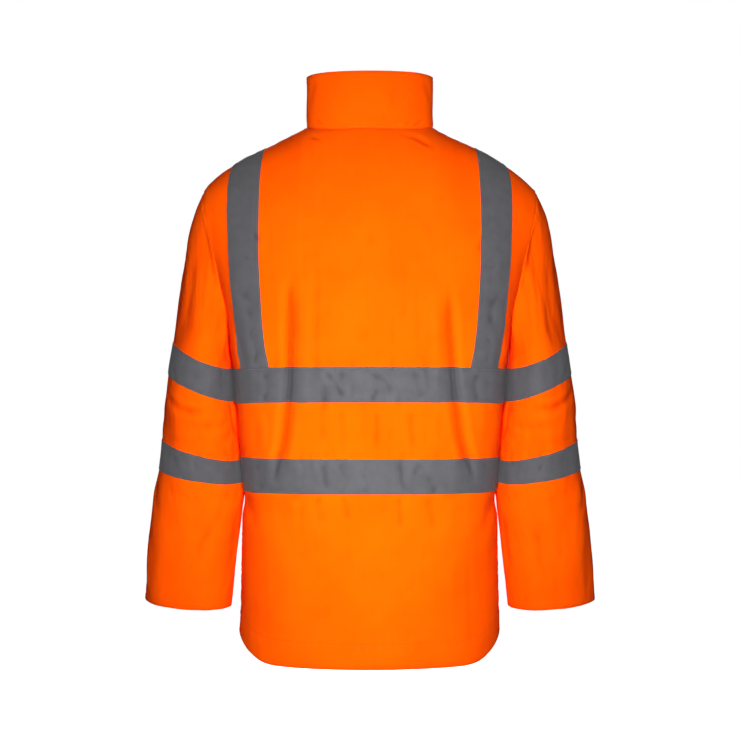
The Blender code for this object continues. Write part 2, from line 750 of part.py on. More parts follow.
def zip_chain(front, collar):
    """The zip up the middle of the fronts and of the collar, from the hem to the collar's top."""
    edges = np.concatenate([front.points[:, :2], collar.points[1:, -1:-3:-1]])
    ways = np.concatenate([front.out[:, :2], collar.out[1:, -1:-3:-1]])
    ways[..., 0, 0] = 0
    ways = unit(ways)
    ends = {0: 1, len(edges) - 1: -1}
    vertices = []
    for i, (line, way) in enumerate(zip(edges, ways)):
        shift = unit(edges[i + ends[i]] - line) * GAP / 2 if i in ends else 0
        line = line + shift
        for across, out in zip_section():
            near = abs(across) <= ZIP_HALF_CHAIN
            point = (line[0] + way[0] * out) if near else (line[1] + way[1] * out)
            vertices.append((np.sign(across) * (abs(across) if near else point[0]), point[1], point[2]))
    corners = len(zip_section())
    faces = [tuple(range(corners)), tuple(range(len(vertices) - corners, len(vertices)))]
    for i in range(len(edges) - 1):
        near, far = edges[i], edges[i + 1]
        rising = np.linalg.norm(near[0] - far[1]) <= np.linalg.norm(near[1] - far[0])
        for j in range(corners):
            a, b = i * corners + j, i * corners + (j + 1) % corners
            if rising == (j < corners // 2):
                faces += [(a, b, a + corners), (b, b + corners, a + corners)]
            else:
                faces += [(a, b, b + corners), (a, b + corners, a + corners)]
    return solid("zip_chain", vertices, faces, ZIP_CLOTH)


def prism(name, outline, axis, low, high, finish, origin):
    """An outline of (first, second) places, extruded along an axis: 0 is X, 1 is Y."""
    vertices = []
    for level in (low, high):
        for first, second in outline:
            vertices.append((level, first, second) if axis == 0 else (first, level, second))
    count = len(outline)
    faces = [tuple(range(count)), tuple(range(count, 2 * count))]
    faces += [(i, (i + 1) % count, (i + 1) % count + count, i + count) for i in range(count)]
    placed = np.array(vertices) + np.array(origin)
    return solid(name, placed, faces, finish, origin, smooth=False)


def joined(piece, others):
    """One body from overlapping pieces: each other piece is united with the first and removed."""
    for other in others:
        union = piece.modifiers.new("union", "BOOLEAN")
        union.operation = "UNION"
        union.object = other
        bpy.context.view_layer.update()
        graph = bpy.context.evaluated_depsgraph_get()
        mesh = bpy.data.meshes.new_from_object(piece.evaluated_get(graph))
        piece.modifiers.clear()
        piece.data = mesh
        bpy.data.objects.remove(other)
    return piece


def arc(radius, first_degrees, last_degrees, steps):
    """Points of an arc round the origin, each a pair."""
    angles = np.radians(np.linspace(first_degrees, last_degrees, steps + 1))
    return [(radius * np.cos(angle), radius * np.sin(angle)) for angle in angles]


def zip_slider(seat):
    """The slider on the chain: a plate with narrowing ends, and a bridge that holds the pin."""
    half_width, half_length = SLIDER_WIDTH / 2, SLIDER_LENGTH / 2
    neck, widest = half_width * SLIDER_NECK_SHARE, half_length * SLIDER_WIDEST_SHARE
    plate = [
        (-neck, -half_length),
        (neck, -half_length),
        (half_width, widest),
        (neck, half_length),
        (-neck, half_length),
        (-half_width, widest),
    ]
    base = prism("zip_slider", plate, 1, -SLIDER_THICKNESS, 0.0, ZIP_METAL, seat)
    sunk = -JOIN_DEPTH
    half, foot = BRIDGE_LENGTH / 2, BRIDGE_LENGTH / 2 - BRIDGE_WALL
    top = BRIDGE_HEIGHT - BRIDGE_WALL
    face = -SLIDER_THICKNESS
    arch = [(sunk, -half), (BRIDGE_HEIGHT, -half), (BRIDGE_HEIGHT, half), (sunk, half)]
    arch += [(sunk, foot), (top, foot), (top, -foot), (sunk, -foot)]
    outline = [(face - height, along) for height, along in arch]
    bridge = prism("bridge", outline, 0, -BRIDGE_WIDTH / 2, BRIDGE_WIDTH / 2, ZIP_METAL, seat)
    return joined(base, [bridge])


def zip_pull_tab(seat):
    """The pull tab, hanging from its pin under the slider's bridge. Its origin is on the pin."""
    pin = np.array(seat) + np.array([0, -SLIDER_THICKNESS - PIN_HEIGHT, 0])
    half = TAB_THICKNESS / 2
    side = arc(half, 180, 0, 6) + [(half, -TAB_WINDOW), (-half, -TAB_WINDOW)]
    arms = [
        prism("arm", side, 0, low, low + TAB_HALF_WIDTH - TAB_ARM_INNER, ZIP_METAL, pin)
        for low in (TAB_ARM_INNER, -TAB_HALF_WIDTH)
    ]
    bar = arc(PIN_RADIUS, 0, 360, 8)[:-1]
    reach = TAB_ARM_INNER + JOIN_DEPTH
    rod = prism("rod", bar, 0, -reach, reach, ZIP_METAL, pin)
    tip = TAB_TIP_HALF_WIDTH
    round_end = [(x, z - TAB_LENGTH + tip) for x, z in arc(tip, 180, 360, 8)]
    top = -TAB_WINDOW + JOIN_DEPTH
    plate = [(TAB_HALF_WIDTH, top), (-TAB_HALF_WIDTH, top)] + round_end
    blade = prism("zip_pull_tab", plate, 1, -half, half, ZIP_METAL, pin)
    return joined(blade, [rod] + arms)


def main():
    for thing in list(bpy.data.objects):
        bpy.data.objects.remove(thing)

    half = body_columns()
    right_half, left_half = np.full(len(half) - 1, RIGHT), np.full(len(half), LEFT)
    back = torso_sheet(BACK, np.concatenate([half[:0:-1], half]), np.concatenate([right_half, left_half]))
    fronts = {side: torso_sheet(FRONT, front_columns(), side) for side in (LEFT, RIGHT)}
    sleeves = {side: sleeve_sheet(side) for side in (LEFT, RIGHT)}
    collar = collar_sheet()
    share_seam_ways([back, *fronts.values(), *sleeves.values(), collar])

    names = {LEFT: "left", RIGHT: "right"}
    panel("back", back)
    panel("collar", collar)
    tape("upper_band_back", part_of(back, row_slice(UPPER_BAND_ROWS)))
    tape("lower_band_back", part_of(back, row_slice(LOWER_BAND_ROWS)))

    neck_and_shoulder = NECK_STEPS + SHOULDER_STEPS
    middle = len(half) - 1
    for side, name in names.items():
        panel(f"front_{name}", fronts[side])
        panel(f"sleeve_{name}", sleeves[side])
        tape(f"upper_band_front_{name}", part_of(fronts[side], row_slice(UPPER_BAND_ROWS)))
        tape(f"lower_band_front_{name}", part_of(fronts[side], row_slice(LOWER_BAND_ROWS)))
        first = neck_and_shoulder + 1
        front_strip = slice(first, first + BRACE_STEPS + 1)
        inner, outer = middle + side * neck_and_shoulder, middle + side * (neck_and_shoulder + BRACE_STEPS)
        back_strip = np.linspace(inner, outer, BRACE_STEPS + 1).astype(int)
        tape(f"brace_{name}", brace_sheet(back, back_strip, fronts[side], front_strip))
        tape(f"sleeve_band_upper_{name}", part_of(sleeves[side], slice(CAP_STEPS, CAP_STEPS + 3)))
        lower = CAP_STEPS + 2 + SLEEVE_BETWEEN_STEPS
        tape(f"sleeve_band_lower_{name}", part_of(sleeves[side], slice(lower, lower + 3)))

    zip_chain(fronts[LEFT], collar)
    collar_front = collar.points[-1, -1]
    seat = (0.0, collar_front[1] - CLOTH / 2 - GAP, collar_front[2] - SLIDER_BELOW_TOP)
    zip_slider(seat)
    zip_pull_tab(seat)


main()
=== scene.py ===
"""A hi-vis work jacket, hollow, filled out as if worn with nobody in it, on a pale studio floor.

Metres, +Z up. The jacket faces -Y and its wearer's left is +X. The origin is the middle of the neck
opening, at the height of the back neck seam. Creases are listed in millimetres and degrees.

Each cloth is a fine grid of points worked out from the jacket's own sizes. Its creases, grooves and
puckers are sunk into that grid, and a thin closed shell is made on it. Tapes and stitches take
their places from the cloth that they are sewn on.
"""

from __future__ import annotations

import json
import logging
from dataclasses import dataclass, field, replace
from enum import Enum
from typing import Sequence

import bmesh
import bpy
import numpy as np
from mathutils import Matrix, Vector


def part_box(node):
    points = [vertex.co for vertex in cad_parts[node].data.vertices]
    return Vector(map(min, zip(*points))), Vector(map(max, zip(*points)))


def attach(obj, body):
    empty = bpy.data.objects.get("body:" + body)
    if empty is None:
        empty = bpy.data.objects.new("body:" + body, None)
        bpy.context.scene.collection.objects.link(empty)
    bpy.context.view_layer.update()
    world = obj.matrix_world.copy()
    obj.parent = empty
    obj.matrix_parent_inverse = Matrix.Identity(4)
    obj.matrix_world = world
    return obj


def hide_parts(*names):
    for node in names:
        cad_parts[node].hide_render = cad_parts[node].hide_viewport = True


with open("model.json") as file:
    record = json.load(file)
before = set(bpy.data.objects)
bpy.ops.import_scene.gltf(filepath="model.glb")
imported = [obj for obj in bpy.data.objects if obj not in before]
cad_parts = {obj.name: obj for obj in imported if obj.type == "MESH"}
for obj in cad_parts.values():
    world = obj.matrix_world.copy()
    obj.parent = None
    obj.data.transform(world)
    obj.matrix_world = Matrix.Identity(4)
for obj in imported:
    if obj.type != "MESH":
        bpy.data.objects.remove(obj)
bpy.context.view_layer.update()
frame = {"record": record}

LOG = logging.getLogger("jacket")
Array = np.ndarray
Piece = bpy.types.Object
Material = bpy.types.Material
Socket = bpy.types.NodeSocket
Pair = tuple[float, float]
Triple = tuple[float, float, float]
Loop = list[Pair]
Colour = tuple[float, float, float, float]

MM = 0.001
NEARBY = 0.002  # how far apart two points are taken to find which way the cloth runs
HAIR = 1e-9  # tells the two sides of the middle line apart
OVAL_SAMPLES = 97
ARMHOLE_SAMPLES = 241
CREASE_SAMPLES = 20
CREASE_REACH = 2.8  # how many of its widths away a crease is still felt
CREASE_LIP_REACH = 1.6  # how much wider the lip beside a crease is
VARIED_SLIP, VARIED_LEAN, VARIED_DEPTH = 5.0, 5.0, 0.15
TURN_IN = ((0.0006, 0.0001), (0.0016, 0.0004), (0.003, 0.0012))  # down and back at each step
FINE_ROOM = 0.35  # a plain step this near a narrow one gives way to it
EDGE_REACH = 0.0038  # how far in a cloth's edges are felt by its finish
HOLLOW_REACH = 0.008
HOLLOW_DEPTH = 0.0012
SHARP_DEGREES = 50
BODY = "jacket"
CLOTH_MAP = "cloth"  # the name of the map that holds each place's lengths along the cloth


class Face(Enum):
    """The two halves of the body, with the way along Y that each one faces."""

    BACK = 1.0
    FRONT = -1.0


class Side(Enum):
    """The wearer's two sides, with the way along X that each one lies."""

    LEFT = 1.0
    RIGHT = -1.0

    @property
    def label(self) -> str:
        """The side's name, as in the names of pieces."""
        return self.name.lower()


class Edge(Enum):
    """The four edges of a cloth's grid."""

    LOW = "first row"
    HIGH = "last row"
    FIRST = "first column"
    LAST = "last column"


# ---------------------------------------------------------------- curves and tables


def unit(vectors: Array) -> Array:
    """The same ways with a length of one."""
    return vectors / np.maximum(np.linalg.norm(vectors, axis=-1, keepdims=True), 1e-12)


def eased(share: Array) -> Array:
    """A share from 0 to 1, slow at both ends."""
    share = np.clip(share, 0, 1)
    return share * share * (3 - 2 * share)


def hermite(start: Array, end: Array, leaving: Array, arriving: Array, share: Array) -> Array:
    """A cubic between two ends with the given tangents.

    Args:
        start: The value at a share of 0.
        end: The value at a share of 1.
        leaving: The tangent at the start.
        arriving: The tangent at the end.
        share: The places to read, from 0 to 1.

    Returns:
        The values at those places.
    """
    square, cube = share**2, share**3
    return (
        start * (2 * cube - 3 * square + 1)
        + end * (3 * square - 2 * cube)
        + leaving * (cube - 2 * square + share)
        + arriving * (cube - square)
    )


def through(places: Sequence[float], values: Sequence[float], at: Array, level_start: bool = False) -> Array:
    """A smooth curve through values, with no overshoot.

    Args:
        places: Where the values stand, rising.
        values: The values.
        at: The places to read.
        level_start: True where the curve leaves its first value level.

    Returns:
        The curve's values at those places.
    """
    places, values = np.asarray(places, float), np.asarray(values, float)
    steps = np.diff(places)
    slopes = np.diff(values) / steps
    both = slopes[:-1] * slopes[1:]
    total = np.where(both > 0, slopes[:-1] + slopes[1:], 1.0)
    inner = np.where(both > 0, 2 * both / total, 0.0)
    tangents = np.concatenate([slopes[:1] * (not level_start), inner, slopes[-1:]])
    at = np.clip(at, places[0], places[-1])
    i = np.clip(np.searchsorted(places, at) - 1, 0, len(steps) - 1)
    step = steps[i]
    share = (at - places[i]) / step
    return hermite(values[i], values[i + 1], tangents[i] * step, tangents[i + 1] * step, share)


def read_table(table: Sequence[object], key: str, name: str, at: Array, level_start: bool = False) -> Array:
    """One column of a table of rows, read smoothly at values of another column, the key."""
    places = [getattr(row, key) for row in table]
    return through(places, [getattr(row, name) for row in table], at, level_start)


def lengths_along(line: Array) -> Array:
    """The length from a line's first point to each of its points."""
    chord = np.linalg.norm(np.diff(line, axis=0), axis=-1)
    return np.concatenate([[0], np.cumsum(chord)])


def read_line(at: Array, length: Array, values: Array) -> Array:
    """A line's points, or its ways, read at lengths along it."""
    return np.stack([np.interp(at, length, values[:, k]) for k in range(values.shape[1])], -1)


def ripple(across: Array, along: Array, size: float, seed: int, waves: int = 9) -> Array:
    """A smooth uneven field, made of a few waves in uneven directions.

    Args:
        across: Places across the cloth.
        along: Places along the cloth.
        size: The usual distance from one rise to the next, in the same unit.
        seed: Which of many such fields.
        waves: How many waves are added up.

    Returns:
        Values from about -1 to 1.
    """
    chance = np.random.default_rng(seed)
    total = np.zeros(np.shape(across))
    for _ in range(waves):
        turn, phase = chance.uniform(0, 2 * np.pi, 2)
        pace = 2 * np.pi / (size * chance.uniform(0.7, 1.7))
        total += np.sin((across * np.cos(turn) + along * np.sin(turn)) * pace + phase)
    return total / np.sqrt(waves)


class QuarterOvals:
    """Quarters of superellipses, one for each entry of its sizes, read at lengths along them."""

    def __init__(self, half_width: Array, depth: Array, squareness: Array) -> None:
        """Measures the quarters.

        Args:
            half_width: From the middle to the side.
            depth: From the middle to the front or back.
            squareness: 2 is an ellipse and more is squarer.
        """
        self.half_width, self.depth, self.squareness = half_width, depth, squareness
        self.angles = np.linspace(0, np.pi / 2, OVAL_SAMPLES)
        x, y = self.place(self.angles, spread=True)
        chord = np.hypot(np.diff(x, axis=-1), np.diff(y, axis=-1))
        self.lengths = np.concatenate([np.zeros_like(chord[..., :1]), np.cumsum(chord, axis=-1)], -1)

    @property
    def total(self) -> Array:
        """The length of each quarter."""
        return self.lengths[..., -1]

    def place(self, angle: Array, spread: bool = False) -> tuple[Array, Array]:
        """The points at angles from the middle (0) to the side (a quarter turn).

        Args:
            angle: One angle for each quarter, or a list of angles.
            spread: True to read the whole list on each quarter.

        Returns:
            The places across and deep.
        """
        sizes = (self.half_width, self.depth, self.squareness)
        width, depth, power = (np.asarray(v)[..., None] for v in sizes) if spread else sizes
        sine, cosine = np.sin(angle), np.cos(angle)
        radius = ((np.abs(sine) / width) ** power + (np.abs(cosine) / depth) ** power) ** (-1 / power)
        return radius * sine, radius * cosine

    def at(self, wanted: Array) -> tuple[Array, Array]:
        """The points at lengths from the middle, one on each quarter.

        Args:
            wanted: The lengths.

        Returns:
            The places across and deep.
        """
        i = np.clip((self.lengths < wanted[..., None]).sum(-1) - 1, 0, OVAL_SAMPLES - 2)[..., None]
        low, high = np.take_along_axis(self.lengths, i, -1), np.take_along_axis(self.lengths, i + 1, -1)
        share = (wanted[..., None] - low) / (high - low)
        step = self.angles[1]
        return self.place((i + share)[..., 0] * step)


# ---------------------------------------------------------------- the jacket's form


@dataclass(frozen=True)
class Section:
    """A level section of the body, with its own depth before and behind."""

    z: float
    half_width: float
    back_depth: float
    front_depth: float
    squareness: float
    brace_inner: float = 0.141  # length of cloth from the middle to the brace's inner edge


@dataclass(frozen=True)
class Swing:
    """How the cloth leaves the armpit level and reaches the top line, at a column of the body."""

    column: float
    rise: float
    across: float
    over: float
    lift: float


@dataclass(frozen=True)
class BodyForm:
    """The form of the body. Columns are 0 at the middle, 1 and 2 at the brace's edges and 3 at the
    side seam. Rows are 0 at the hem, 1 to 4 at the bands' edges, 5 at the armpits and 6 at the neck
    and shoulder seams."""

    sections: tuple[Section, ...] = (
        Section(-0.775, 0.1892, 0.146, 0.15, 2.1),
        Section(-0.726, 0.1892, 0.145, 0.149, 2.1),
        Section(-0.653, 0.188, 0.141, 0.146, 2.2),
        Section(-0.594, 0.1868, 0.137, 0.143, 2.4),
        Section(-0.558, 0.1855, 0.134, 0.141, 2.6),
        Section(-0.536, 0.1822, 0.132, 0.139, 2.8),
        Section(-0.51, 0.1832, 0.131, 0.138, 3.0),
        Section(-0.452, 0.1888, 0.131, 0.137, 3.4),
        Section(-0.394, 0.1922, 0.134, 0.136, 3.9),
        Section(-0.345, 0.195, 0.136, 0.134, 4.2),
        Section(-0.315, 0.2, 0.138, 0.133, 4.4, 0.1462),
        Section(-0.29, 0.201, 0.139, 0.133, 4.4, 0.149),
    )
    back_swings: tuple[Swing, ...] = (
        Swing(0.0, 0.3, 0.0, 0.42, 0.05),
        Swing(0.625, 0.3, 0.0, 0.37, 0.03),
        Swing(1.0, 0.3, -0.02, 0.32, 0.011),
        Swing(2.0, 0.28, -0.06, 0.3, 0.026),
        Swing(3.0, 0.28, -0.05, 0.25, 0.01),
    )
    front_swings: tuple[Swing, ...] = (
        Swing(0.0, 0.3, 0.0, 0.28, 0.0),
        Swing(0.625, 0.29, 0.0, 0.31, 0.01),
        Swing(1.0, 0.28, -0.03, 0.31, 0.016),
        Swing(2.0, 0.28, -0.06, 0.3, 0.026),
        Swing(3.0, 0.28, -0.05, 0.25, 0.01),
    )
    armpit_z: float = -0.315
    upper_band: Pair = (-0.3905, -0.341)
    upper_band_side_drop: float = 0.005
    lower_band: Pair = (-0.519, -0.47)
    hem_z: float = -0.7625
    hem_side_rise: float = 0.04
    hem_rise_power: float = 2.4
    neck_half_width: float = 0.093
    neck_back_y: float = 0.065
    neck_side_y: float = -0.005
    neck_front_y: float = -0.095
    neck_side_z: float = 0.009
    neck_squareness: float = 2.2
    neck_column: float = 0.625
    neck_seek_steps: int = 34
    tip: Triple = (0.2383, -0.005, -0.0817)
    shoulder_start: Triple = (0.147, 0.0, -0.083)
    shoulder_end: Triple = (0.12, 0.0, -0.135)
    brace_shares: Pair = (0.385, 0.665)  # where the brace crosses the shoulder seam
    brace_width: float = 0.05
    zip_edge: float = 0.0035
    armhole_scoop: float = 0.3
    armhole_rise: float = 0.22
    armhole_inset: float = -0.02

    def level(self, face: Face, column: Array, z: Array) -> Array:
        """Points of the body below the armpits.

        Args:
            face: Back or front.
            column: The columns.
            z: The heights, of the same shape.

        Returns:
            The points.
        """
        column, z = np.broadcast_arrays(np.asarray(column, float), np.asarray(z, float))
        depth = "back_depth" if face is Face.BACK else "front_depth"
        sizes = [read_table(self.sections, "z", name, z) for name in ("half_width", depth, "squareness")]
        ovals = QuarterOvals(*sizes)
        start = 0.0 if face is Face.BACK else self.zip_edge
        inner = read_table(self.sections, "z", "brace_inner", z)
        outer = inner + self.brace_width
        beside = inner + self.brace_width * (column - 1)
        side = outer + (ovals.total - outer) * (column - 2)
        wanted = np.where(column < 1, start + (inner - start) * column, np.where(column < 2, beside, side))
        x, y = ovals.at(wanted)
        return np.stack([x, y * face.value, z], -1)

    def height(self, column: Array, row: Array) -> Array:
        """The heights of rows from the hem (0) to the armpits (5).

        Args:
            column: The columns.
            row: The rows, of the same shape.

        Returns:
            The heights.
        """
        share = np.clip(column / 3, 0, 1)
        hem = self.hem_z + self.hem_side_rise * np.sin(np.pi / 2 * share**self.hem_rise_power) ** 2
        drop = self.upper_band_side_drop * share**2
        below = [hem, self.lower_band[0], self.lower_band[1]]
        above = [self.upper_band[0] - drop, self.upper_band[1] - drop, self.armpit_z]
        levels = np.stack(np.broadcast_arrays(*below, *above))
        i = np.clip(np.floor(row).astype(int), 0, 4)
        low = np.take_along_axis(levels, i[None], 0)[0]
        high = np.take_along_axis(levels, i[None] + 1, 0)[0]
        return low + (high - low) * (row - i)

    def shoulder(self, share: Array) -> Array:
        """Points of the shoulder seam, from the neck point (0) to the shoulder tip (1)."""
        neck = (self.neck_half_width, self.neck_side_y, self.neck_side_z)
        return hermite(*np.array((neck, self.tip, self.shoulder_start, self.shoulder_end)), share[..., None])

    def ridge(self, face: Face, column: Array) -> Array:
        """The line that the yoke's curves rise to: the shoulder seam, and an arch over the neck.

        Args:
            face: Back or front.
            column: The columns.

        Returns:
            The line's points.
        """
        along = np.interp(column, [self.neck_column, 1, 2, 3], [0, *self.brace_shares, 1])
        start = 0.0 if face is Face.BACK else self.zip_edge
        x = start + (self.neck_half_width - start) * np.clip(column / self.neck_column, 0, 1)
        slope = -self.shoulder_start[2] / self.shoulder_start[0]
        width = self.neck_half_width
        z = self.neck_side_z + slope * (width**2 - x**2) / (2 * width)
        arch = np.stack([x, np.full(x.shape, self.neck_side_y), z], -1)
        return np.where((column < self.neck_column)[..., None], arch, self.shoulder(along))

    def yoke_curves(self, face: Face, column: Array) -> tuple[Array, Array, Array, Array]:
        """The curves that the yoke follows from the armpit level to the ridge line.

        Args:
            face: Back or front.
            column: The columns.

        Returns:
            Each curve's start, its end, and its tangents at both.
        """
        swings = self.back_swings if face is Face.BACK else self.front_swings
        base = self.level(face, column, self.armpit_z)
        up = unit(base - self.level(face, column, self.armpit_z - NEARBY))
        inward = unit(self.level(face, column - NEARBY, self.armpit_z) - base)
        turn = np.clip(column - 2, 0, 1)[..., None]
        rise = read_table(swings, "column", "rise", column)[..., None]
        inset = np.array([self.armhole_inset, 0, 0])
        scoop = inward * self.armhole_scoop + up * self.armhole_rise + inset
        leaving = up * rise * (1 - turn) + scoop * turn
        over = -face.value * read_table(swings, "column", "over", column, True)
        lift = read_table(swings, "column", "lift", column, True)
        arriving = np.stack([read_table(swings, "column", "across", column), over, lift], -1)
        return base, self.ridge(face, column), leaving, arriving

    def seam_share(self, face: Face, column: Array) -> Array:
        """How far along its curve each column meets the neck seam, or 1 at the shoulder seam.

        Args:
            face: Back or front.
            column: The columns.

        Returns:
            The shares.
        """
        curves = self.yoke_curves(face, column)
        depth = abs((self.neck_back_y if face is Face.BACK else self.neck_front_y) - self.neck_side_y)
        low, high = np.zeros(column.shape), np.ones(column.shape)
        for _ in range(self.neck_seek_steps):
            middle = (low + high) / 2
            point = hermite(*curves, middle[..., None])
            across = point[..., 0] / self.neck_half_width
            deep = np.abs(point[..., 1] - self.neck_side_y) / depth
            outside = across**self.neck_squareness + deep**self.neck_squareness > 1
            low, high = np.where(outside, middle, low), np.where(outside, high, middle)
        return np.where(column < self.neck_column, high, 1.0)

    def surface(self, face: Face, columns: Array, rows: Array) -> Array:
        """Points of the body on a grid.

        Args:
            face: Back or front.
            columns: The grid's columns; a negative one lies on the wearer's right.
            rows: The grid's rows.

        Returns:
            The points, by row and column.
        """
        across = np.abs(columns)
        column, row = np.meshgrid(across, rows)
        below = self.level(face, column, self.height(column, np.minimum(row, 5)))
        share = np.clip(row - 5, 0, 1) * self.seam_share(face, across)
        curves = (curve[None] for curve in self.yoke_curves(face, across))
        points = np.where((row <= 5)[..., None], below, hermite(*curves, share[..., None]))
        points[..., 0] *= np.where(columns < 0, -1.0, 1.0)
        return points


@dataclass(frozen=True)
class Ring:
    """A ring of a sleeve: an oval, higher at its outer end and lower at the back."""

    z: float
    x: float
    half_width: float
    y: float
    half_depth: float
    tilt: float
    pitch: float


@dataclass(frozen=True)
class Heading:
    """The way a sleeve leaves its armhole, from the underarm (0) to the shoulder tip (1)."""

    share: float
    out: float
    aside: float
    down: float


@dataclass(frozen=True)
class SleeveForm:
    """The form of a sleeve, from its armhole through tilted rings to its cuff."""

    body: BodyForm
    rings: tuple[Ring, ...] = (
        Ring(-0.688, 0.2686, 0.0636, -0.034, 0.054, 0.08, 0.11),
        Ring(-0.594, 0.2596, 0.0651, -0.022, 0.062, 0.1, 0.11),
        Ring(-0.54, 0.2522, 0.0652, -0.016, 0.066, 0.12, 0.11),
        Ring(-0.498, 0.2484, 0.0604, -0.012, 0.069, 0.16, 0.11),
        Ring(-0.46, 0.2476, 0.0556, -0.008, 0.072, 0.27, 0.11),
        Ring(-0.415, 0.2469, 0.0532, -0.006, 0.076, 0.34, 0.11),
        Ring(-0.369, 0.2455, 0.0481, -0.004, 0.08, 0.41, 0.11),
        Ring(-0.323, 0.244, 0.0443, -0.002, 0.083, 0.41, 0.11),
    )
    headings: tuple[Heading, ...] = (
        Heading(0.0, 0.95, 0.0, 0.05),
        Heading(0.5, 0.3, 0.05, 0.95),
        Heading(1.0, 0.54, 0.0, 0.84),
    )
    cap_bottom: float = -0.323
    cuff_z: float = -0.688
    squareness: float = 2.1
    cap_fullness: float = 0.75

    def ring(self, share: Array, around: Array, z: Array) -> Array:
        """Points of the sleeve's rings.

        Args:
            share: 0 at the underarm and 1 at the outer end.
            around: 1 on the back half and -1 on the front half.
            z: The height of each ring's middle.

        Returns:
            The points.
        """
        share, around, z = np.broadcast_arrays(share, around, z)
        names = ("x", "half_width", "y", "half_depth", "tilt", "pitch")
        x, half_width, y, half_depth, tilt, pitch = (read_table(self.rings, "z", name, z) for name in names)
        ovals = QuarterOvals(half_width, half_depth, np.full(z.shape, self.squareness))
        wanted = np.clip(2 * share, 0, 2) * ovals.total
        inner = wanted < ovals.total
        across, deep = ovals.at(np.where(inner, ovals.total - wanted, wanted - ovals.total))
        across, deep = np.where(inner, -across, across), deep * around
        return np.stack([x + across, y + deep, z + tilt * across - pitch * deep], -1)

    def armhole(self, turns: Array) -> tuple[Array, Array, Array, Array]:
        """The armhole's edge at even lengths along each half.

        Args:
            turns: 0 at the shoulder tip, rising round the back to 1 at the underarm, and falling
                round the front to -1.

        Returns:
            The points, their share of the half's length from the underarm, their share of its
            height steps, and 1 on the back half or -1 on the front half.
        """
        steps = np.linspace(0, 1, ARMHOLE_SAMPLES)
        share = 1 - np.abs(turns)
        points, at = {}, {}
        for face in Face:
            curve = self.body.surface(face, np.array([3.0]), 5 + steps)[:, 0]
            length = lengths_along(curve)
            at[face] = np.interp(share, length / length[-1], steps)
            points[face] = read_line(at[face], steps, curve)
        behind = turns >= 0
        edge = np.where(behind[:, None], points[Face.BACK], points[Face.FRONT])
        return edge, share, np.where(behind, at[Face.BACK], at[Face.FRONT]), np.where(behind, 1.0, -1.0)

    def surface(self, turns: Array, cap_steps: Array, heights: Array) -> Array:
        """Points of the left sleeve on a grid.

        Args:
            turns: The grid's columns, as in armhole.
            cap_steps: Rows of the cap, from 0 at the armhole to less than 1.
            heights: Rows of the tube, as the heights of its rings' middles, from the top down.

        Returns:
            The points, by row and column.
        """
        armhole, share, steps, around = self.armhole(turns)
        top = np.full(share.shape, self.cap_bottom)
        ring = self.ring(share, around, top)
        down = unit(self.ring(share, around, top - NEARBY) - ring)
        reach = np.linalg.norm(ring - armhole, axis=-1, keepdims=True)
        ways = [read_table(self.headings, "share", name, steps) for name in ("out", "aside", "down")]
        heading = np.stack([ways[0], around * ways[1], -ways[2]], -1)
        leaving = unit(heading) * reach * self.cap_fullness
        cap = hermite(armhole, ring, leaving, down * reach, np.asarray(cap_steps)[:, None, None])
        tube = self.ring(share[None], around[None], np.asarray(heights)[:, None])
        return np.concatenate([cap, tube])


@dataclass(frozen=True)
class CollarForm:
    """The form of the stand collar, on the body's neck seam."""

    body: BodyForm
    top_z: float = 0.0837
    front_height: float = 0.078
    lean: float = 0.005
    side_drop: float = 0.003

    def surface(self, turns: Array, levels: Array) -> Array:
        """Points of the collar on a grid.

        Args:
            turns: -1 at the right front edge, 0 at the middle of the back and 1 at the left
                front edge; a half is at the neck point.
            levels: 0 at the neck seam and 1 at the top.

        Returns:
            The points, by level and turn.
        """
        body = self.body
        away = np.abs(turns)
        column = body.neck_column * np.where(away < 0.5, 2 * away, 2 * (1 - away))
        seam = {face: body.surface(face, column, np.array([6.0]))[0] for face in Face}
        base = np.where((away <= 0.5)[:, None], seam[Face.BACK], seam[Face.FRONT])
        base[:, 0] *= np.where(turns < 0, -1.0, 1.0)
        deep = base[:, 1] - body.neck_side_y
        behind = np.clip(deep / (body.neck_back_y - body.neck_side_y), 0, 1)
        before = np.clip(deep / (body.neck_front_y - body.neck_side_y), 0, 1)
        side_height = self.top_z - self.side_drop - body.neck_side_z
        back_height = self.top_z - self.side_drop * (1 - behind) ** 2 - base[:, 2]
        front_height = side_height + (self.front_height - side_height) * before
        height = np.where(before > 0, front_height, back_height)
        rise = np.stack([0 * height, -self.lean * behind, height], -1)
        return base + rise * np.asarray(levels)[:, None, None]


# ---------------------------------------------------------------- creases


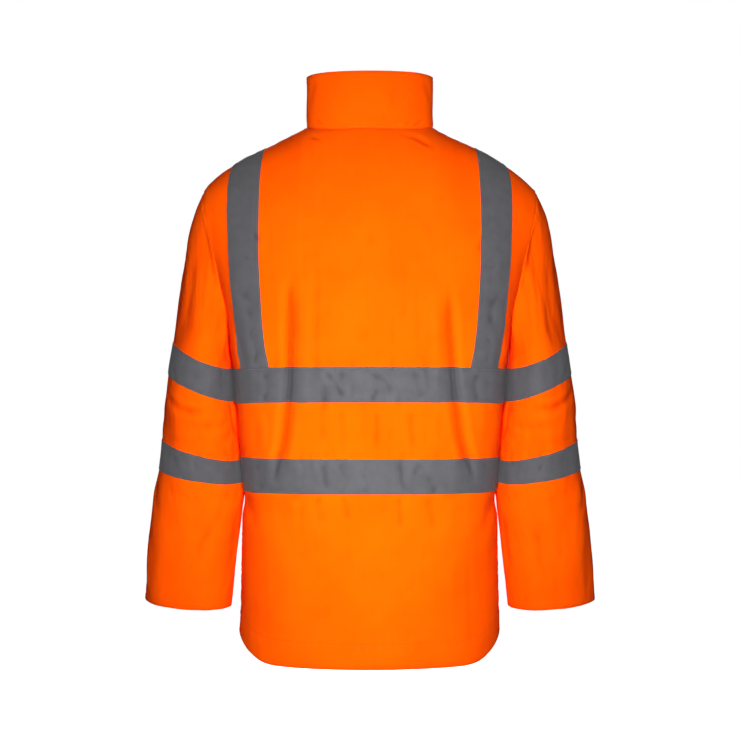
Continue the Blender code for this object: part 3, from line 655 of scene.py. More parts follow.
@dataclass(frozen=True)
class Crease:
    """A soft trough along a smooth path, or a ridge where its depth is less than 0. Millimetres."""

    path: tuple[Pair, ...]  # across and up (on a sleeve: degrees round and up)
    depth: float
    width: float
    other: float = 0.0  # the width on the path's right-hand side, where it differs
    lip: float = 0.35  # how much the cloth beside it rises, as a share of its depth
    start: float = 0.35  # over which share of its length it begins
    end: float = 0.35

    def route(self, stretch: float) -> Array:
        """The path's points in metres, close together.

        Args:
            stretch: What the path's first value is multiplied by, for metres across.

        Returns:
            The points.
        """
        knots = np.array(self.path) * (stretch, MM)
        length = lengths_along(knots)
        at = np.linspace(0, length[-1], CREASE_SAMPLES)
        if len(knots) < 3:
            return read_line(at, length, knots)
        slopes = np.gradient(knots, length, axis=0)
        i = np.clip(np.searchsorted(length, at) - 1, 0, len(knots) - 2)
        step = (length[i + 1] - length[i])[:, None]
        share = (at - length[i])[:, None] / step
        return hermite(knots[i], knots[i + 1], slopes[i] * step, slopes[i + 1] * step, share)

    def sink(self, across: Array, up: Array, stretch: float) -> Array:
        """How far the crease sinks each place.

        Args:
            across: The places across the cloth, in the route's unit.
            up: Their heights.
            stretch: As in route.

        Returns:
            The depths in metres.
        """
        route = self.route(stretch)
        reach = max(self.width, self.other) * MM * CREASE_REACH
        low, high = route.min(0) - reach, route.max(0) + reach
        near = (across > low[0]) & (across < high[0]) & (up > low[1]) & (up < high[1])
        total = np.zeros(across.shape)
        if not near.any():
            return total
        places = np.stack([across[near], up[near]], -1)[:, None]
        start, step = route[:-1], np.diff(route, axis=0)
        away = places - start
        share = np.clip((away * step).sum(-1) / (step**2).sum(-1), 0, 1)
        left = away - share[..., None] * step
        distance = np.linalg.norm(left, axis=-1)
        best = distance.argmin(-1)
        row = np.arange(len(best))
        distance, share = distance[row, best], (share[row, best] + best) / len(step)
        turn = step[best, 0] * left[row, best, 1] - step[best, 1] * left[row, best, 0]
        width = np.where(turn < 0, self.other or self.width, self.width) * MM
        square = (distance / width) ** 2
        form = np.exp(-square) - self.lip * square * np.exp(-square / CREASE_LIP_REACH)
        fade = eased(share / self.start) * eased((1 - share) / self.end)
        total[near] = self.depth * MM * form * fade
        return total


Row = tuple[tuple[float, ...], *tuple[float, ...]]


def creases(*rows: Row, tail: tuple[float, float, float] = (0.3, 0.35, 0.35)) -> tuple[Crease, ...]:
    """Creases from rows of sizes.

    Args:
        rows: A path, its values across and up in turn, and then three or more of Crease's other sizes.
        tail: The lip, start and end of rows that leave them out.

    Returns:
        The creases.
    """
    made = []
    for path, *sizes in rows:
        made.append(Crease(tuple(zip(path[::2], path[1::2])), *sizes, *tail[len(sizes) - 3 :]))
    return tuple(made)


def varied(pattern: Sequence[Crease], seed: int, deep: float = 1.0, clear: float = 0.0) -> tuple[Crease, ...]:
    """Creases laid a little differently, for the other sleeve or the other side of the body.

    Args:
        pattern: The creases that are followed.
        seed: Which of many such changes.
        deep: What their depths are multiplied by.
        clear: Creases that come this near the middle line are left out.

    Returns:
        The new creases.
    """
    chance = np.random.default_rng(seed)
    made = []
    for crease in pattern:
        slip, lean, more = chance.uniform(-1, 1, 3) * (VARIED_SLIP, VARIED_LEAN, VARIED_DEPTH)
        if min(abs(x) for x, _ in crease.path) < clear:
            continue
        left = [slip * (1 - k / len(crease.path)) for k in range(len(crease.path))]
        bent = tuple((x + shift, z + lean) for (x, z), shift in zip(crease.path, left))
        made.append(replace(crease, path=bent, depth=crease.depth * deep * (1 + more)))
    return tuple(made)


@dataclass(frozen=True)
class Unevenness:
    """A cloth's own small waves, which no maker cuts. Metres."""

    size: float
    depth: float
    seed: int
    tall: float = 1.0  # how much longer the waves are up the cloth than across it

    def sink(self, across: Array, up: Array) -> Array:
        """How far they sink each place."""
        return self.depth * ripple(across, up / self.tall, self.size, self.seed)


BACK_CREASES = creases(
    # the two long folds, from below the shoulder blades to under the lower band
    (
        (110, -188, 111, -262, 111, -345, 116, -398, 121, -440, 130, -480, 136, -522),
        *(8.4, 8, 12, 0.42, 0.3, 0.22),
    ),
    (
        (-108, -205, -110, -262, -115, -340, -122, -394, -130, -440, -141, -480, -148, -524),
        *(8, 12, 8.5, 0.42, 0.3, 0.22),
    ),
    # a sharper line inside the left one
    ((113, -280, 114, -318, 114.5, -352, 116, -372), 2.4, 3.2, 6),
    ((-117, -296, -118, -330, -120, -362), 1.3, 5, 3.2),
    # fainter ridges beside them
    ((84, -175, 86, -230, 85, -290, 84, -350, 86, -420, 90, -470), -1.7, 9, 9, 0.2),
    ((-82, -200, -84, -250, -86, -310, -90, -372, -96, -430), -1.6, 10, 9, 0.2),
    ((64, -330, 63, -372, 66, -420, 65, -462), 1.5, 8, 8),
    ((-10, -392, -11, -425, -8, -464), 1.4, 7, 9),
    ((-55, -388, -57, -424, -60, -470), 1.6, 9, 8),
    ((24, -380, 22, -424, 20, -466), -1.2, 10, 10, 0.2),
    ((-86, -396, -88, -430, -92, -468), -1.2, 8, 8, 0.2),
    # faint slanting pulls from the neck down over the shoulder blades
    ((-6, -172, 2, -230, 12, -290, 18, -334), 0.91, 14, 16, 0.2, 0.5, 0.5),
    ((-12, -125, 10, -180, 34, -232, 54, -268), 0.77, 14, 13, 0.2, 0.5, 0.5),
    ((-40, -150, -46, -210, -52, -268), 0.7, 15, 15, 0.2, 0.5, 0.5),
    ((60, -118, 74, -150, 92, -172), 0.7, 12, 12, 0.2, 0.5, 0.5),
    ((-64, -112, -80, -148, -98, -176), 0.84, 12, 12, 0.2, 0.5, 0.5),
    # pulls at the foot of the collar
    ((-54, -10, -70, -17, -94, -30), 2.2, 3.6, 5, 0.4, 0.3, 0.4),
    ((88, -10, 78, -15, 66, -19), 1.9, 3.4, 4.5, 0.4, 0.3, 0.4),
    ((-40, -8, -50, -12, -66, -15), 1.3, 3.4, 4, 0.4, 0.3, 0.4),
    # pulls beside the armholes
    ((196, -214, 182, -236, 170, -262, 162, -292), 1.5, 7, 8, 0.3, 0.5),
    ((-197, -206, -184, -230, -173, -262, -168, -300), 1.6, 8, 7, 0.3, 0.5),
    ((200, -262, 190, -284, 180, -318, 176, -352), 2, 6, 8, 0.3, 0.5),
    ((-201, -268, -192, -292, -183, -326, -180, -360), 1.8, 7, 6, 0.3, 0.5),
    # under the upper band at the sides
    ((178, -388, 168, -410, 160, -440, 158, -468), 0.8, 9, 8),
    ((-180, -392, -172, -420, -168, -452), 0.8, 8, 9),
    ((150, -398, 148, -430, 152, -466), -1.4, 7, 7, 0.2),
    # below the lower band: short gathers that open out to the plain barrel of the skirt
    ((176, -520, 170, -545, 160, -576), 2.2, 8, 9, 0.3, 0.15),
    ((-178, -520, -171, -548, -160, -582), 2.3, 9, 8, 0.3, 0.15),
    ((104, -520, 106, -546, 108, -580), -1.4, 10, 10, 0.2, 0.2),
    ((72, -519, 70, -540, 68, -566), 1.3, 8, 9, 0.3, 0.2),
    ((36, -519, 34, -536, 31, -560), 1, 7, 8, 0.3, 0.2),
    ((-38, -519, -41, -540, -43, -572), 1.2, 9, 8, 0.3, 0.2),
    ((-80, -519, -84, -542, -88, -574), 1.3, 9, 9, 0.3, 0.2),
    ((-112, -522, -110, -548, -106, -588), -1.4, 10, 10, 0.2, 0.2),
    # the hem turns in a little
    ((-150, -784, 0, -796, 150, -784), 8, 42, 42, 0, 0.3, 0.3),
    # the skirt's sides fall away
    ((164, -560, 163, -640, 160, -745), 3.4, 24, 24, 0, 0.3, 0.3),
    ((-164, -560, -163, -640, -160, -745), 3.4, 24, 24, 0, 0.3, 0.3),
    # long faint waves in the skirt
    ((-60, -600, -52, -660, -50, -720), 0.9, 18, 20, 0.2),
    ((70, -610, 66, -660, 72, -715), 1, 17, 20, 0.2),
    ((140, -600, 134, -650, 136, -700), 1.2, 14, 14, 0.2),
    ((-142, -606, -136, -660, -140, -705), 1.2, 14, 14, 0.2),
)
BAND_CREASES = creases(
    # the crumpling of the tape itself, which pulls on the cloth below it
    ((62, -343, 54, -356, 44, -372, 34, -388), 1.06, 5.6, 7, 0.5, 0.3, 0.3),
    ((38, -344, 40, -356, 36, -370), 0.8, 6, 9, 0.4, 0.3, 0.5),
    ((6, -342, -4, -352, -22, -362, -30, -388), 1.1, 6, 9, 0.5, 0.3, 0.3),
    ((0, -388, -8, -378, -12, -366), 0.7, 6, 8, 0.4, 0.3, 0.5),
    ((88, -344, 90, -364, 94, -388), -0.94, 7, 7, 0.3),
    ((-62, -344, -66, -366, -72, -388), 0.94, 7, 8.8),
    ((-92, -344, -96, -366, -102, -389), -0.94, 8.8, 7, 0.3),
    ((146, -346, 142, -366, 146, -391), 1.06, 8.8, 7),
    ((160, -346, 166, -370, 164, -392), -0.82, 7, 7, 0.3),
    ((-150, -346, -146, -368, -152, -392), 1.06, 7, 8.8),
    ((70, -472, 64, -486, 62, -500, 56, -518), 1.2, 7, 9, 0.5, 0.25, 0.3),
    ((42, -471, 40, -484, 30, -500), 0.9, 6, 9, 0.4, 0.3, 0.5),
    ((24, -486, 20, -500, 22, -518), -0.8, 8, 9, 0.3, 0.4, 0.25),
    ((2, -472, 8, -486, 6, -506), 0.6, 8, 6, 0.4, 0.3, 0.4),
    ((-36, -472, -44, -486, -46, -502, -56, -518), 1.1, 8, 6, 0.5, 0.25, 0.3),
    ((-70, -471, -66, -484, -58, -496), 0.9, 6, 8, 0.4, 0.3, 0.4),
    ((-80, -484, -84, -500, -92, -519), 1, 7, 9, 0.5, 0.4, 0.25),
    ((98, -472, 100, -492, 104, -518), -0.94, 8.8, 8.8, 0.3),
    ((-110, -472, -114, -494, -120, -518), -0.94, 8.8, 8.8, 0.3),
    ((160, -472, 154, -492, 152, -518), 1.3, 8.8, 10.5),
    ((176, -474, 170, -494, 172, -518), 1.06, 7, 7),
    ((-164, -472, -158, -494, -156, -518), 1.3, 10.5, 8.8),
    ((-178, -476, -172, -496, -174, -519), 1.06, 7, 7),
    tail=(0.4, 0.2, 0.2),
)
BRACE_CREASES = creases(
    # across the braces behind: short slanting folds and one long bend like an S
    ((166, -148, 158, -160, 150, -170), 1.12, 6.1, 7.6),
    ((160, -150, 162, -168, 165, -188), 0.99, 5.3, 6.1),
    ((180, -186, 170, -190, 156, -186), 0.87, 6.1, 6.1),
    ((160, -276, 166, -296, 158, -318, 163, -344), 1.36, 6.1, 7.6, 0.4, 0.25, 0.25),
    ((176, -230, 168, -246, 158, -252), 0.99, 6.1, 6.1),
    ((-163, -150, -157, -166, -152, -184), 1.12, 6.1, 6.1),
    ((-182, -196, -170, -202, -155, -196), 0.99, 6.1, 6.1),
    ((-174, -240, -166, -262, -170, -288), 1.24, 6.1, 7.6),
    ((-160, -292, -168, -312, -160, -342), 1.12, 6.1, 6.1, 0.4, 0.25, 0.25),
    tail=(0.4, 0.3, 0.3),
)
FRONT_CREASES = varied(BACK_CREASES, 92, 0.6, 16) + varied(BAND_CREASES, 93, 0.9, 16)

# On a sleeve: degrees from its outer end (0) round behind (90) to the underarm (180), and mm up.
SLEEVE_TURN = 0.065 * np.pi / 180  # metres of cloth to a degree
LEFT_SLEEVE_CREASES = creases(
    # the upper arm is flat behind, and turns from the seam to its outer end
    ((56, -120, 56, -200, 58, -260, 58, -345), 12, 46, 46, 0, 0.4, 0.3),
    ((120, -150, 127, -230, 136, -330), -9, 27, 14, 0, 0.4, 0.25),
    # drapes that fall from the cap
    ((64, -150, 74, -196, 86, -250, 92, -312), 2, 9, 12, 0.35, 0.4),
    ((108, -196, 112, -240, 114, -290, 112, -330), -1.6, 9, 9, 0.2),
    ((140, -262, 146, -300, 150, -346), 3.2, 7, 9, 0.35, 0.3),
    ((36, -170, 46, -230, 52, -290), 1.6, 10, 12, 0.3),
    ((8, -160, 12, -230, 14, -300), 1.4, 12, 12, 0.3),
    # between the two tapes, where the elbow crumples
    ((20, -372, 52, -392, 84, -404, 112, -402), 2.2, 6, 8, 0.35),
    ((60, -412, 92, -424, 124, -424, 152, -412), 1.13, 9.5, 8.1),
    ((30, -440, 58, -446, 88, -452), 0.78, 6.8, 8.1),
    ((118, -448, 140, -438, 164, -420), 1.04, 8.1, 8.1),
    ((-20, -400, 10, -416, 34, -422), 0.87, 9.5, 9.5),
    ((150, -380, 168, -396, 186, -404), 1.04, 9.5, 9.5),
    # below the lower tape
    ((36, -503, 60, -520, 92, -532, 116, -530), 0.87, 8.1, 12.2),
    ((96, -504, 118, -520, 144, -528, 166, -522), 0.95, 8.1, 10.8),
    ((14, -506, 22, -530, 40, -556), 1.6, 8, 8, 0.3, 0.2),
    ((62, -548, 72, -590, 76, -640), 1.6, 12, 14, 0.3),
    ((112, -556, 108, -600, 112, -650), 1.5, 11, 12, 0.3),
    ((150, -540, 158, -590, 156, -650), 2.2, 10, 12, 0.3),
    ((34, -580, 30, -630, 36, -680), 1.2, 12, 12, 0.3),
    ((-40, -510, -60, -534, -90, -540), 0.87, 9.5, 12.2),
    ((-90, -420, -110, -436, -140, -430), 1.04, 9.5, 9.5),
    ((-40, -380, -66, -402, -96, -404), 0.95, 9.5, 10.8),
    ((-60, -170, -72, -240, -84, -304), 1.9, 10, 12, 0.35),
    ((-120, -220, -124, -270, -130, -330), 2, 9, 9, 0.35),
    ((-70, -560, -78, -620, -76, -670), 1.6, 12, 13, 0.3),
    ((-120, -550, -126, -610, -122, -664), 1.6, 12, 12, 0.3),
    ((166, -372, 170, -420, 172, -480, 172, -548), -6.5, 15, 15, 0, 0.2, 0.25),
    ((146, -388, 152, -420, 160, -452), 3.4, 5, 5, 0.2, 0.3, 0.4),
    tail=(0.4, 0.35, 0.35),
)
SLEEVE_BAND_CREASES = creases(
    ((40, -340, 52, -352, 60, -372), 0.84, 5.4, 6.4),
    ((88, -330, 84, -350, 92, -366), 0.84, 6.4, 6.4),
    ((120, -326, 126, -344, 122, -362), 0.95, 6.4, 6.4),
    ((10, -344, 16, -360, 14, -384), 0.74, 6.4, 6.4),
    ((54, -466, 62, -480, 60, -500), 0.84, 5.8, 5.8),
    ((96, -460, 90, -476, 96, -494), 0.95, 6.4, 6.4),
    ((130, -456, 136, -474, 130, -490), 0.95, 6.4, 6.4),
    ((22, -470, 28, -488, 24, -506), 0.74, 6.4, 6.4),
    ((-60, -340, -66, -356, -60, -374), 0.84, 6.4, 6.4),
    ((-110, -334, -104, -350, -110, -366), 0.84, 6.4, 6.4),
    ((-70, -462, -76, -480, -70, -498), 0.84, 6.4, 6.4),
    ((-120, -460, -114, -478, -120, -494), 0.84, 6.4, 6.4),
    tail=(0.5, 0.25, 0.3),
)
RIGHT_SLEEVE_CREASES = varied(LEFT_SLEEVE_CREASES, 91)
# On the collar: mm round from the middle of the back, and mm up from its seam.
COLLAR_CREASES = creases(
    ((-62, 3, -74, 8, -88, 14), 1.2, 3.5, 4),
    ((-50, 2, -54, 7, -62, 12), 0.9, 3, 3),
    ((-78, 1, -84, 5, -94, 7), 1, 3, 3),
    ((66, 2, 76, 9, 90, 12), 1.1, 3.5, 4),
    ((-84, 70, -98, 52, -104, 30), 1.2, 7, 6, 0.35),
    ((84, 72, 96, 50, 102, 28), 1.1, 7, 7, 0.35),
    ((-30, 20, -34, 44, -30, 66), 0.8, 11, 10, 0.2),
    ((34, 16, 40, 40, 38, 66), 0.8, 10, 11, 0.2),
    ((150, 14, 158, 40, 154, 64), 1, 8, 8, 0.3),
    ((-152, 16, -158, 42, -152, 66), 1, 8, 8, 0.3),
    tail=(0.4, 0.35, 0.35),
)


# ---------------------------------------------------------------- cloth as grids and shells


@dataclass
class Grid:
    """The middle of a cloth, by row and column, with each point's lengths along the flat cloth."""

    points: Array
    closed: bool = False
    facing: float = 1.0  # turns the way out round, for a grid that is laid out the other way
    flat: Array = field(init=False)

    def __post_init__(self) -> None:
        """Measures the lengths along the cloth, from the middle column and from the first row."""
        across = np.linalg.norm(np.diff(self.points, axis=1), axis=-1)
        along = np.linalg.norm(np.diff(self.points, axis=0), axis=-1)
        u = np.pad(np.cumsum(across, 1), ((0, 0), (1, 0)))
        v = np.pad(np.cumsum(along, 0), ((1, 0), (0, 0)))
        middle = self.points.shape[1] // 2
        self.flat = np.stack([u - u[:, middle : middle + 1], v], -1)

    @property
    def out(self) -> Array:
        """The way out of the cloth at each point."""
        return ways_out(self.points, self.closed, self.facing)

    @property
    def area(self) -> float:
        """The cloth's area in square metres."""
        along = np.diff(self.points, axis=0)
        across = np.roll(self.points, -1, 1)[:-1] - self.points[:-1]
        cells = np.linalg.norm(np.cross(along, across), axis=-1)
        return float(cells.sum() if self.closed else cells[:, :-1].sum())

    @property
    def size(self) -> Pair:
        """The cloth's greatest width and length, all round on a tube."""
        closing = np.linalg.norm(self.points[:, 0] - self.points[:, -1], axis=-1) if self.closed else 0
        width = (self.flat[..., 0].max(1) - self.flat[..., 0].min(1) + closing).max()
        return float(width), float(self.flat[..., 1].max())

    def moved(self, distance: float) -> Grid:
        """The same grid moved out by a distance."""
        return Grid(self.points + self.out * distance, self.closed, self.facing)

    def turned_in(self, edges: Sequence[Edge]) -> Grid:
        """The same grid with some of its edges turned in, as the cloth at a seam is.

        Args:
            edges: Which edges.

        Returns:
            The larger grid.
        """
        points = self.points
        for edge in edges:
            out = ways_out(points, self.closed, self.facing)
            across = edge in (Edge.FIRST, Edge.LAST)
            lines, ways = (points.swapaxes(0, 1), out.swapaxes(0, 1)) if across else (points, out)
            last = edge in (Edge.HIGH, Edge.LAST)
            line, way, beside = (lines[-1], ways[-1], lines[-2]) if last else (lines[0], ways[0], lines[1])
            back = unit(beside - line)
            extra = [line - way * down + back * inset for down, inset in TURN_IN]
            lines = np.concatenate([lines, extra]) if last else np.concatenate([extra[::-1], lines])
            points = lines.swapaxes(0, 1) if across else lines
        return Grid(points, self.closed, self.facing)

    def drawn_back(self, by: float) -> Grid:
        """The same grid with its edges drawn back along the cloth.

        Args:
            by: How far.

        Returns:
            The new grid.
        """
        points = self.points.copy()
        for line, beside in ((0, 1), (-1, -2)):
            points[line] += unit(self.points[beside] - self.points[line]) * by
            if not self.closed:
                points[:, line] += unit(self.points[:, beside] - self.points[:, line]) * by
        return Grid(points, self.closed, self.facing)


def ways_out(points: Array, closed: bool, facing: float) -> Array:
    """The way out of a grid of points.

    Args:
        points: By row and column.
        closed: True where the last column meets the first.
        facing: 1, or -1 for a grid that is laid out the other way.

    Returns:
        Lengths of one, of the same shape.
    """
    if closed:
        across = np.roll(points, -1, 1) - np.roll(points, 1, 1)
    else:
        across = np.gradient(points, axis=1)
    return facing * unit(np.cross(np.gradient(points, axis=0), across))


def runs(*stops: tuple[float, float, int]) -> Array:
    """Even steps through stretches, each given as its first value, last value and number of steps."""
    parts = [np.linspace(first, last, count + 1)[:-1] for first, last, count in stops]
    return np.concatenate([*parts, [stops[-1][1]]])


def with_fine_ends(values: Array, steps: Sequence[float], first: float = 0.0, last: float = 0.0) -> Array:
    """The values with narrow steps added beside their ends, where a seam or an edge needs them.

    Args:
        values: Rising values.
        steps: The distances of the narrow steps from an end, in metres.
        first: The metres from one whole value to the next at the first end, or 0 to leave it plain.
        last: The same at the last end.

    Returns:
        The rising values with the new ones.
    """
    for end, span in ((values[0], first), (values[-1], -last)):
        if span:
            room = FINE_ROOM * abs(steps[0] / span)
            added = [end + step / span for step in steps]
            keep = [value for value in values if all(abs(value - new) > room for new in added)]
            values = np.unique(np.round(np.concatenate([keep, added]), 9))
    return values


@dataclass(frozen=True)
class Shell:
    """How a grid is made into a closed mesh of cloth."""

    thickness: float = 0.001
    bulge: float = 0.00018  # how far the middle of its edges stands out
    draw_back: float = 0.00012

    @property
    def face(self) -> float:
        """How far the cloth's face is from its middle."""
        return self.thickness / 2

    def mesh(self, name: str, grid: Grid, material: Material) -> Piece:
        """A closed shell on a grid, with a map of lengths along the cloth.

        Args:
            name: The new piece's name.
            grid: The middle of the cloth.
            material: What it is made of.

        Returns:
            The piece.
        """
        middle = grid.drawn_back(self.draw_back)
        rows, columns = middle.points.shape[:2]
        out = middle.out * self.face
        outer, inner = middle.points + out, middle.points - out
        rim, rim_flat, loops = self.rims(middle, grid.flat)
        count = rows * columns
        vertices = np.concatenate([outer.reshape(-1, 3), inner.reshape(-1, 3), rim])
        i, j = np.meshgrid(np.arange(rows - 1), np.arange(columns - (not grid.closed)), indexing="ij")
        a, b = i * columns + j, i * columns + (j + 1) % columns
        skin = np.stack([a, b, b + columns, a + columns], -1).reshape(-1, 4)
        if grid.facing > 0:
            skin = skin[:, ::-1]
        faces = np.concatenate([skin, skin[:, ::-1] + count, self.rim_faces(loops, count, grid.facing)])
        seam = np.concatenate([grid.flat.reshape(-1, 2)] * 2 + [rim_flat])[faces]
        if grid.closed:
            girth = grid.flat[..., 0].max() - grid.flat[..., 0].min()
            low = seam[..., 0].min(-1, keepdims=True)
            wraps = seam[..., 0].max(-1, keepdims=True) - low > girth / 2
            step = girth * columns / (columns - 1)
            seam[..., 0] += np.where(wraps & (seam[..., 0] < low + girth / 2), step, 0)
        piece = mesh_piece(name, vertices, faces, material, seam)
        near, sunk = edge_nearness(grid).ravel(), hollows(grid).ravel()
        sides = (np.ones(count), np.zeros(count), 0.5)
        marks = {"outer": sides, "edge": (near, near, 1), "hollow": (sunk, sunk, 0)}
        for label, (outside, inside, between) in marks.items():
            values = np.concatenate([outside, inside, np.full(len(rim), between)])
            layer = piece.data.attributes.new(label, "FLOAT", "POINT")
            layer.data.foreach_set("value", values.astype(np.float32))
        return piece

    def rims(self, grid: Grid, flat: Array) -> tuple[Array, Array, list[Array]]:
        """The points in the middle of the edges, a little outside them.

        Args:
            grid: The middle of the cloth.
            flat: Its lengths along the cloth.

        Returns:
            The points, their lengths along the cloth, and for each edge its vertex numbers.
        """
        rows, columns = grid.points.shape[:2]
        number = np.arange(rows * columns).reshape(rows, columns)
        if grid.closed:
            loops = [number[0], number[-1, ::-1]]
        else:
            loops = [np.concatenate([number[0, :-1], number[:-1, -1], number[-1, :0:-1], number[:0:-1, 0]])]
        beside = grid.points.copy()
        beside[0], beside[-1] = grid.points[1], grid.points[-2]
        if not grid.closed:
            beside[:, 0], beside[:, -1] = beside[:, 1], beside[:, -2]
        points = grid.points.reshape(-1, 3)
        moved = points + unit(points - beside.reshape(-1, 3)) * self.bulge
        order = np.concatenate(loops)
        return moved[order], flat.reshape(-1, 2)[order], loops

    @staticmethod
    def rim_faces(loops: list[Array], count: int, facing: float) -> Array:
        """The faces round the edges, from the outer skin over the middle to the inner skin.

        Args:
            loops: For each edge its vertex numbers in order.
            count: How many points a skin has.
            facing: 1, or -1 for a grid that is laid out the other way.

        Returns:
            The faces' vertex numbers.
        """
        faces = []
        start = 2 * count
        for loop in loops:
            middle = start + np.arange(len(loop))
            start += len(loop)
            after, beyond = np.roll(loop, -1), np.roll(middle, -1)
            faces.append(np.stack([loop, after, beyond, middle], -1))
            faces.append(np.stack([middle, beyond, after + count, loop + count], -1))
        joined = np.concatenate(faces)
        return joined if facing > 0 else joined[:, ::-1]


def edge_nearness(grid: Grid) -> Array:
    """How near each place of a cloth is to its edges, from 0 to 1 at the edge itself.

    Args:
        grid: The cloth.

    Returns:
        The values by row and column.
    """
    v = grid.flat[..., 1]
    away = np.minimum(v, v[-1:] - v)
    if not grid.closed:
        u = grid.flat[..., 0]
        away = np.minimum(away, np.minimum(u - u[:, :1], u[:, -1:] - u))
    return np.exp(-((away / EDGE_REACH) ** 2))


def hollows(grid: Grid) -> Array:
    """How hollow each place is beside the cloth around it, from -1 on a ridge to 1 in a trough.

    Args:
        grid: The cloth.

    Returns:
        The values by row and column.
    """
    steps = (np.median(np.linalg.norm(np.diff(grid.points, axis=axis), axis=-1)) for axis in (0, 1))
    tall, wide = (max(int(round(HOLLOW_REACH / step)), 1) for step in steps)
    kind = "wrap" if grid.closed else "edge"
    across = np.pad(grid.points, ((0, 0), (wide, wide), (0, 0)), kind)
    up = np.pad(grid.points, ((tall, tall), (0, 0), (0, 0)), "edge")
    around = across[:, : -2 * wide] + across[:, 2 * wide :] + up[: -2 * tall] + up[2 * tall :]
    above = ((around / 4 - grid.points) * grid.out).sum(-1)
    return np.clip(above / HOLLOW_DEPTH, -1, 1)


def mesh_piece(
    name: str, vertices: Array, faces: Array, material: Material, flat: Array | None = None
) -> Piece:
    """A smooth-shaded piece from vertices and faces of one kind.

    Args:
        name: The piece's name.
        vertices: Its points.
        faces: Vertex numbers, three or four to a face.
        material: What it is made of.
        flat: Each face corner's place on the flat cloth, in metres.

    Returns:
        The piece.
    """
    data = bpy.data.meshes.new(name)
    data.from_pydata(vertices.tolist(), [], faces.tolist())
    data.validate()
    if flat is not None:
        layer = data.uv_layers.new(name=CLOTH_MAP)
        layer.data.foreach_set("uv", np.asarray(flat, np.float32).ravel())
    data.materials.append(material)
    return link_piece(name, data)


def link_piece(name: str, data: bpy.types.Mesh) -> Piece:
    """Adds a piece to the scene, smooth apart from its sharp edges.

    Args:
        name: The piece's name.
        data: Its mesh.

    Returns:
        The piece.
    """
    data.shade_smooth()
    data.set_sharp_from_angle(angle=np.radians(SHARP_DEGREES))
    piece = bpy.data.objects.new(name, data)
    bpy.context.scene.collection.objects.link(piece)
    return piece


def groove(distance: Array, depth: float, width: float) -> Array:
    """A groove along a line: how far it sinks the cloth at distances from the line."""
    return depth * np.exp(-((distance / width) ** 2))


@dataclass(frozen=True)
class SeamSizes:
    """How seams and stitched edges draw the cloth in. Metres."""

    groove_depth: float = 0.0007
    groove_width: float = 0.002
    neck_depth: float = 0.0012
    armhole_depth: float = 0.0021
    armhole_width: float = 0.0032
    armhole_fade: float = 0.03  # over which height the deeper groove begins above the armpit
    shoulder_z: float = -0.15  # from here up it fades out
    shoulder_fade: float = 0.1
    calm: float = 0.015  # within this far of a seam the creases die out
    collar_calm: float = 0.006
    pucker_depth: float = 0.00034
    pucker_reach: float = 0.0095
    pucker_size: float = 0.01
    band_pucker: float = 0.8  # the gathers beside a band's edge, as a share of a seam's
    armhole_pucker: float = 2.4
    collar_pucker: float = 1.5
    hem_line: float = 0.034
    hem_depth: float = 0.0007
    hem_width: float = 0.0016
    cuff_line: float = 0.011
    cuff_width: float = 0.0014

    def groove(self, distance: Array) -> Array:
        """The plain groove along a seam."""
        return groove(distance, self.groove_depth, self.groove_width)

    def below_shoulder(self, z: Array) -> Array:
        """0 at the shoulder, rising to 1 down the armhole."""
        return eased((self.shoulder_z - z) / self.shoulder_fade)

    def pucker(self, distance: Array, along: Array, seed: int) -> Array:
        """How far the small gathers beside a seam sink the cloth, at distances from it and along it."""
        near = np.exp(-((distance / self.pucker_reach) ** 2)) * eased(distance / (self.pucker_reach / 3))
        return self.pucker_depth * ripple(along, 0 * along, self.pucker_size, seed, 6) * near


@dataclass(frozen=True)
class TorsoCloth:
    """The cloth of the back or of the fronts, with its creases."""

    form: BodyForm
    face: Face
    creases: tuple[Crease, ...]
    uneven: tuple[Unevenness, ...]
    seams: SeamSizes = SeamSizes()
    side_span: float = 0.09  # metres of cloth from column 2 to column 3
    yoke_span: float = 0.3  # metres of cloth from row 5 to row 6

    def grid(self, columns: Array, rows: Array) -> Grid:
        """The creased cloth on a grid.

        Args:
            columns: As in BodyForm, negative ones on the wearer's right.
            rows: As in BodyForm.

        Returns:
            The grid, which runs across its columns and up its rows.
        """
        base = self.form.surface(self.face, columns, rows)
        facing = self.face.value * np.sign(base[0, -1, 0] - base[0, 0, 0])
        sunk = self.sink(np.abs(columns)[None], np.asarray(rows)[:, None], base)
        return Grid(base - ways_out(base, False, facing) * sunk[..., None], False, facing)

    def sink(self, column: Array, row: Array, base: Array) -> Array:
        """How far each place of the cloth is sunk.

        Args:
            column: The columns, without a sign.
            row: The rows.
            base: The points before they are sunk.

        Returns:
            The depths, by row and column.
        """
        form, seams = self.form, self.seams
        x, z = base[..., 0], base[..., 2]
        side = np.broadcast_to((3 - column) * self.side_span, x.shape)
        top = np.broadcast_to(np.clip(6 - row, 0, 1) * self.yoke_span, x.shape)
        total = sum(crease.sink(x, z, MM) for crease in self.creases)
        total = total + sum(wave.sink(x, z) for wave in self.uneven)
        total *= eased(side / seams.calm) * eased(top / seams.calm)
        arm = eased((z - form.armpit_z) / seams.armhole_fade) * seams.below_shoulder(z)
        total += seams.groove(side)
        total += groove(side, seams.armhole_depth - seams.groove_depth, seams.armhole_width) * arm
        total += groove(top, seams.neck_depth, seams.groove_width)
        total += seams.pucker(side, z, 41) + seams.pucker(top, x, 42)
        for edge, level in enumerate((*form.upper_band, *form.lower_band)):
            drop = form.upper_band_side_drop * (column / 3) ** 2 if edge < 2 else 0
            total += seams.pucker(np.abs(z - level + drop), x, 43 + edge) * seams.band_pucker
        line = z - form.height(*np.broadcast_arrays(column, row * 0.0)) - seams.hem_line
        total += groove(line, seams.hem_depth, seams.hem_width) + seams.pucker(np.abs(line), x, 51)
        return total


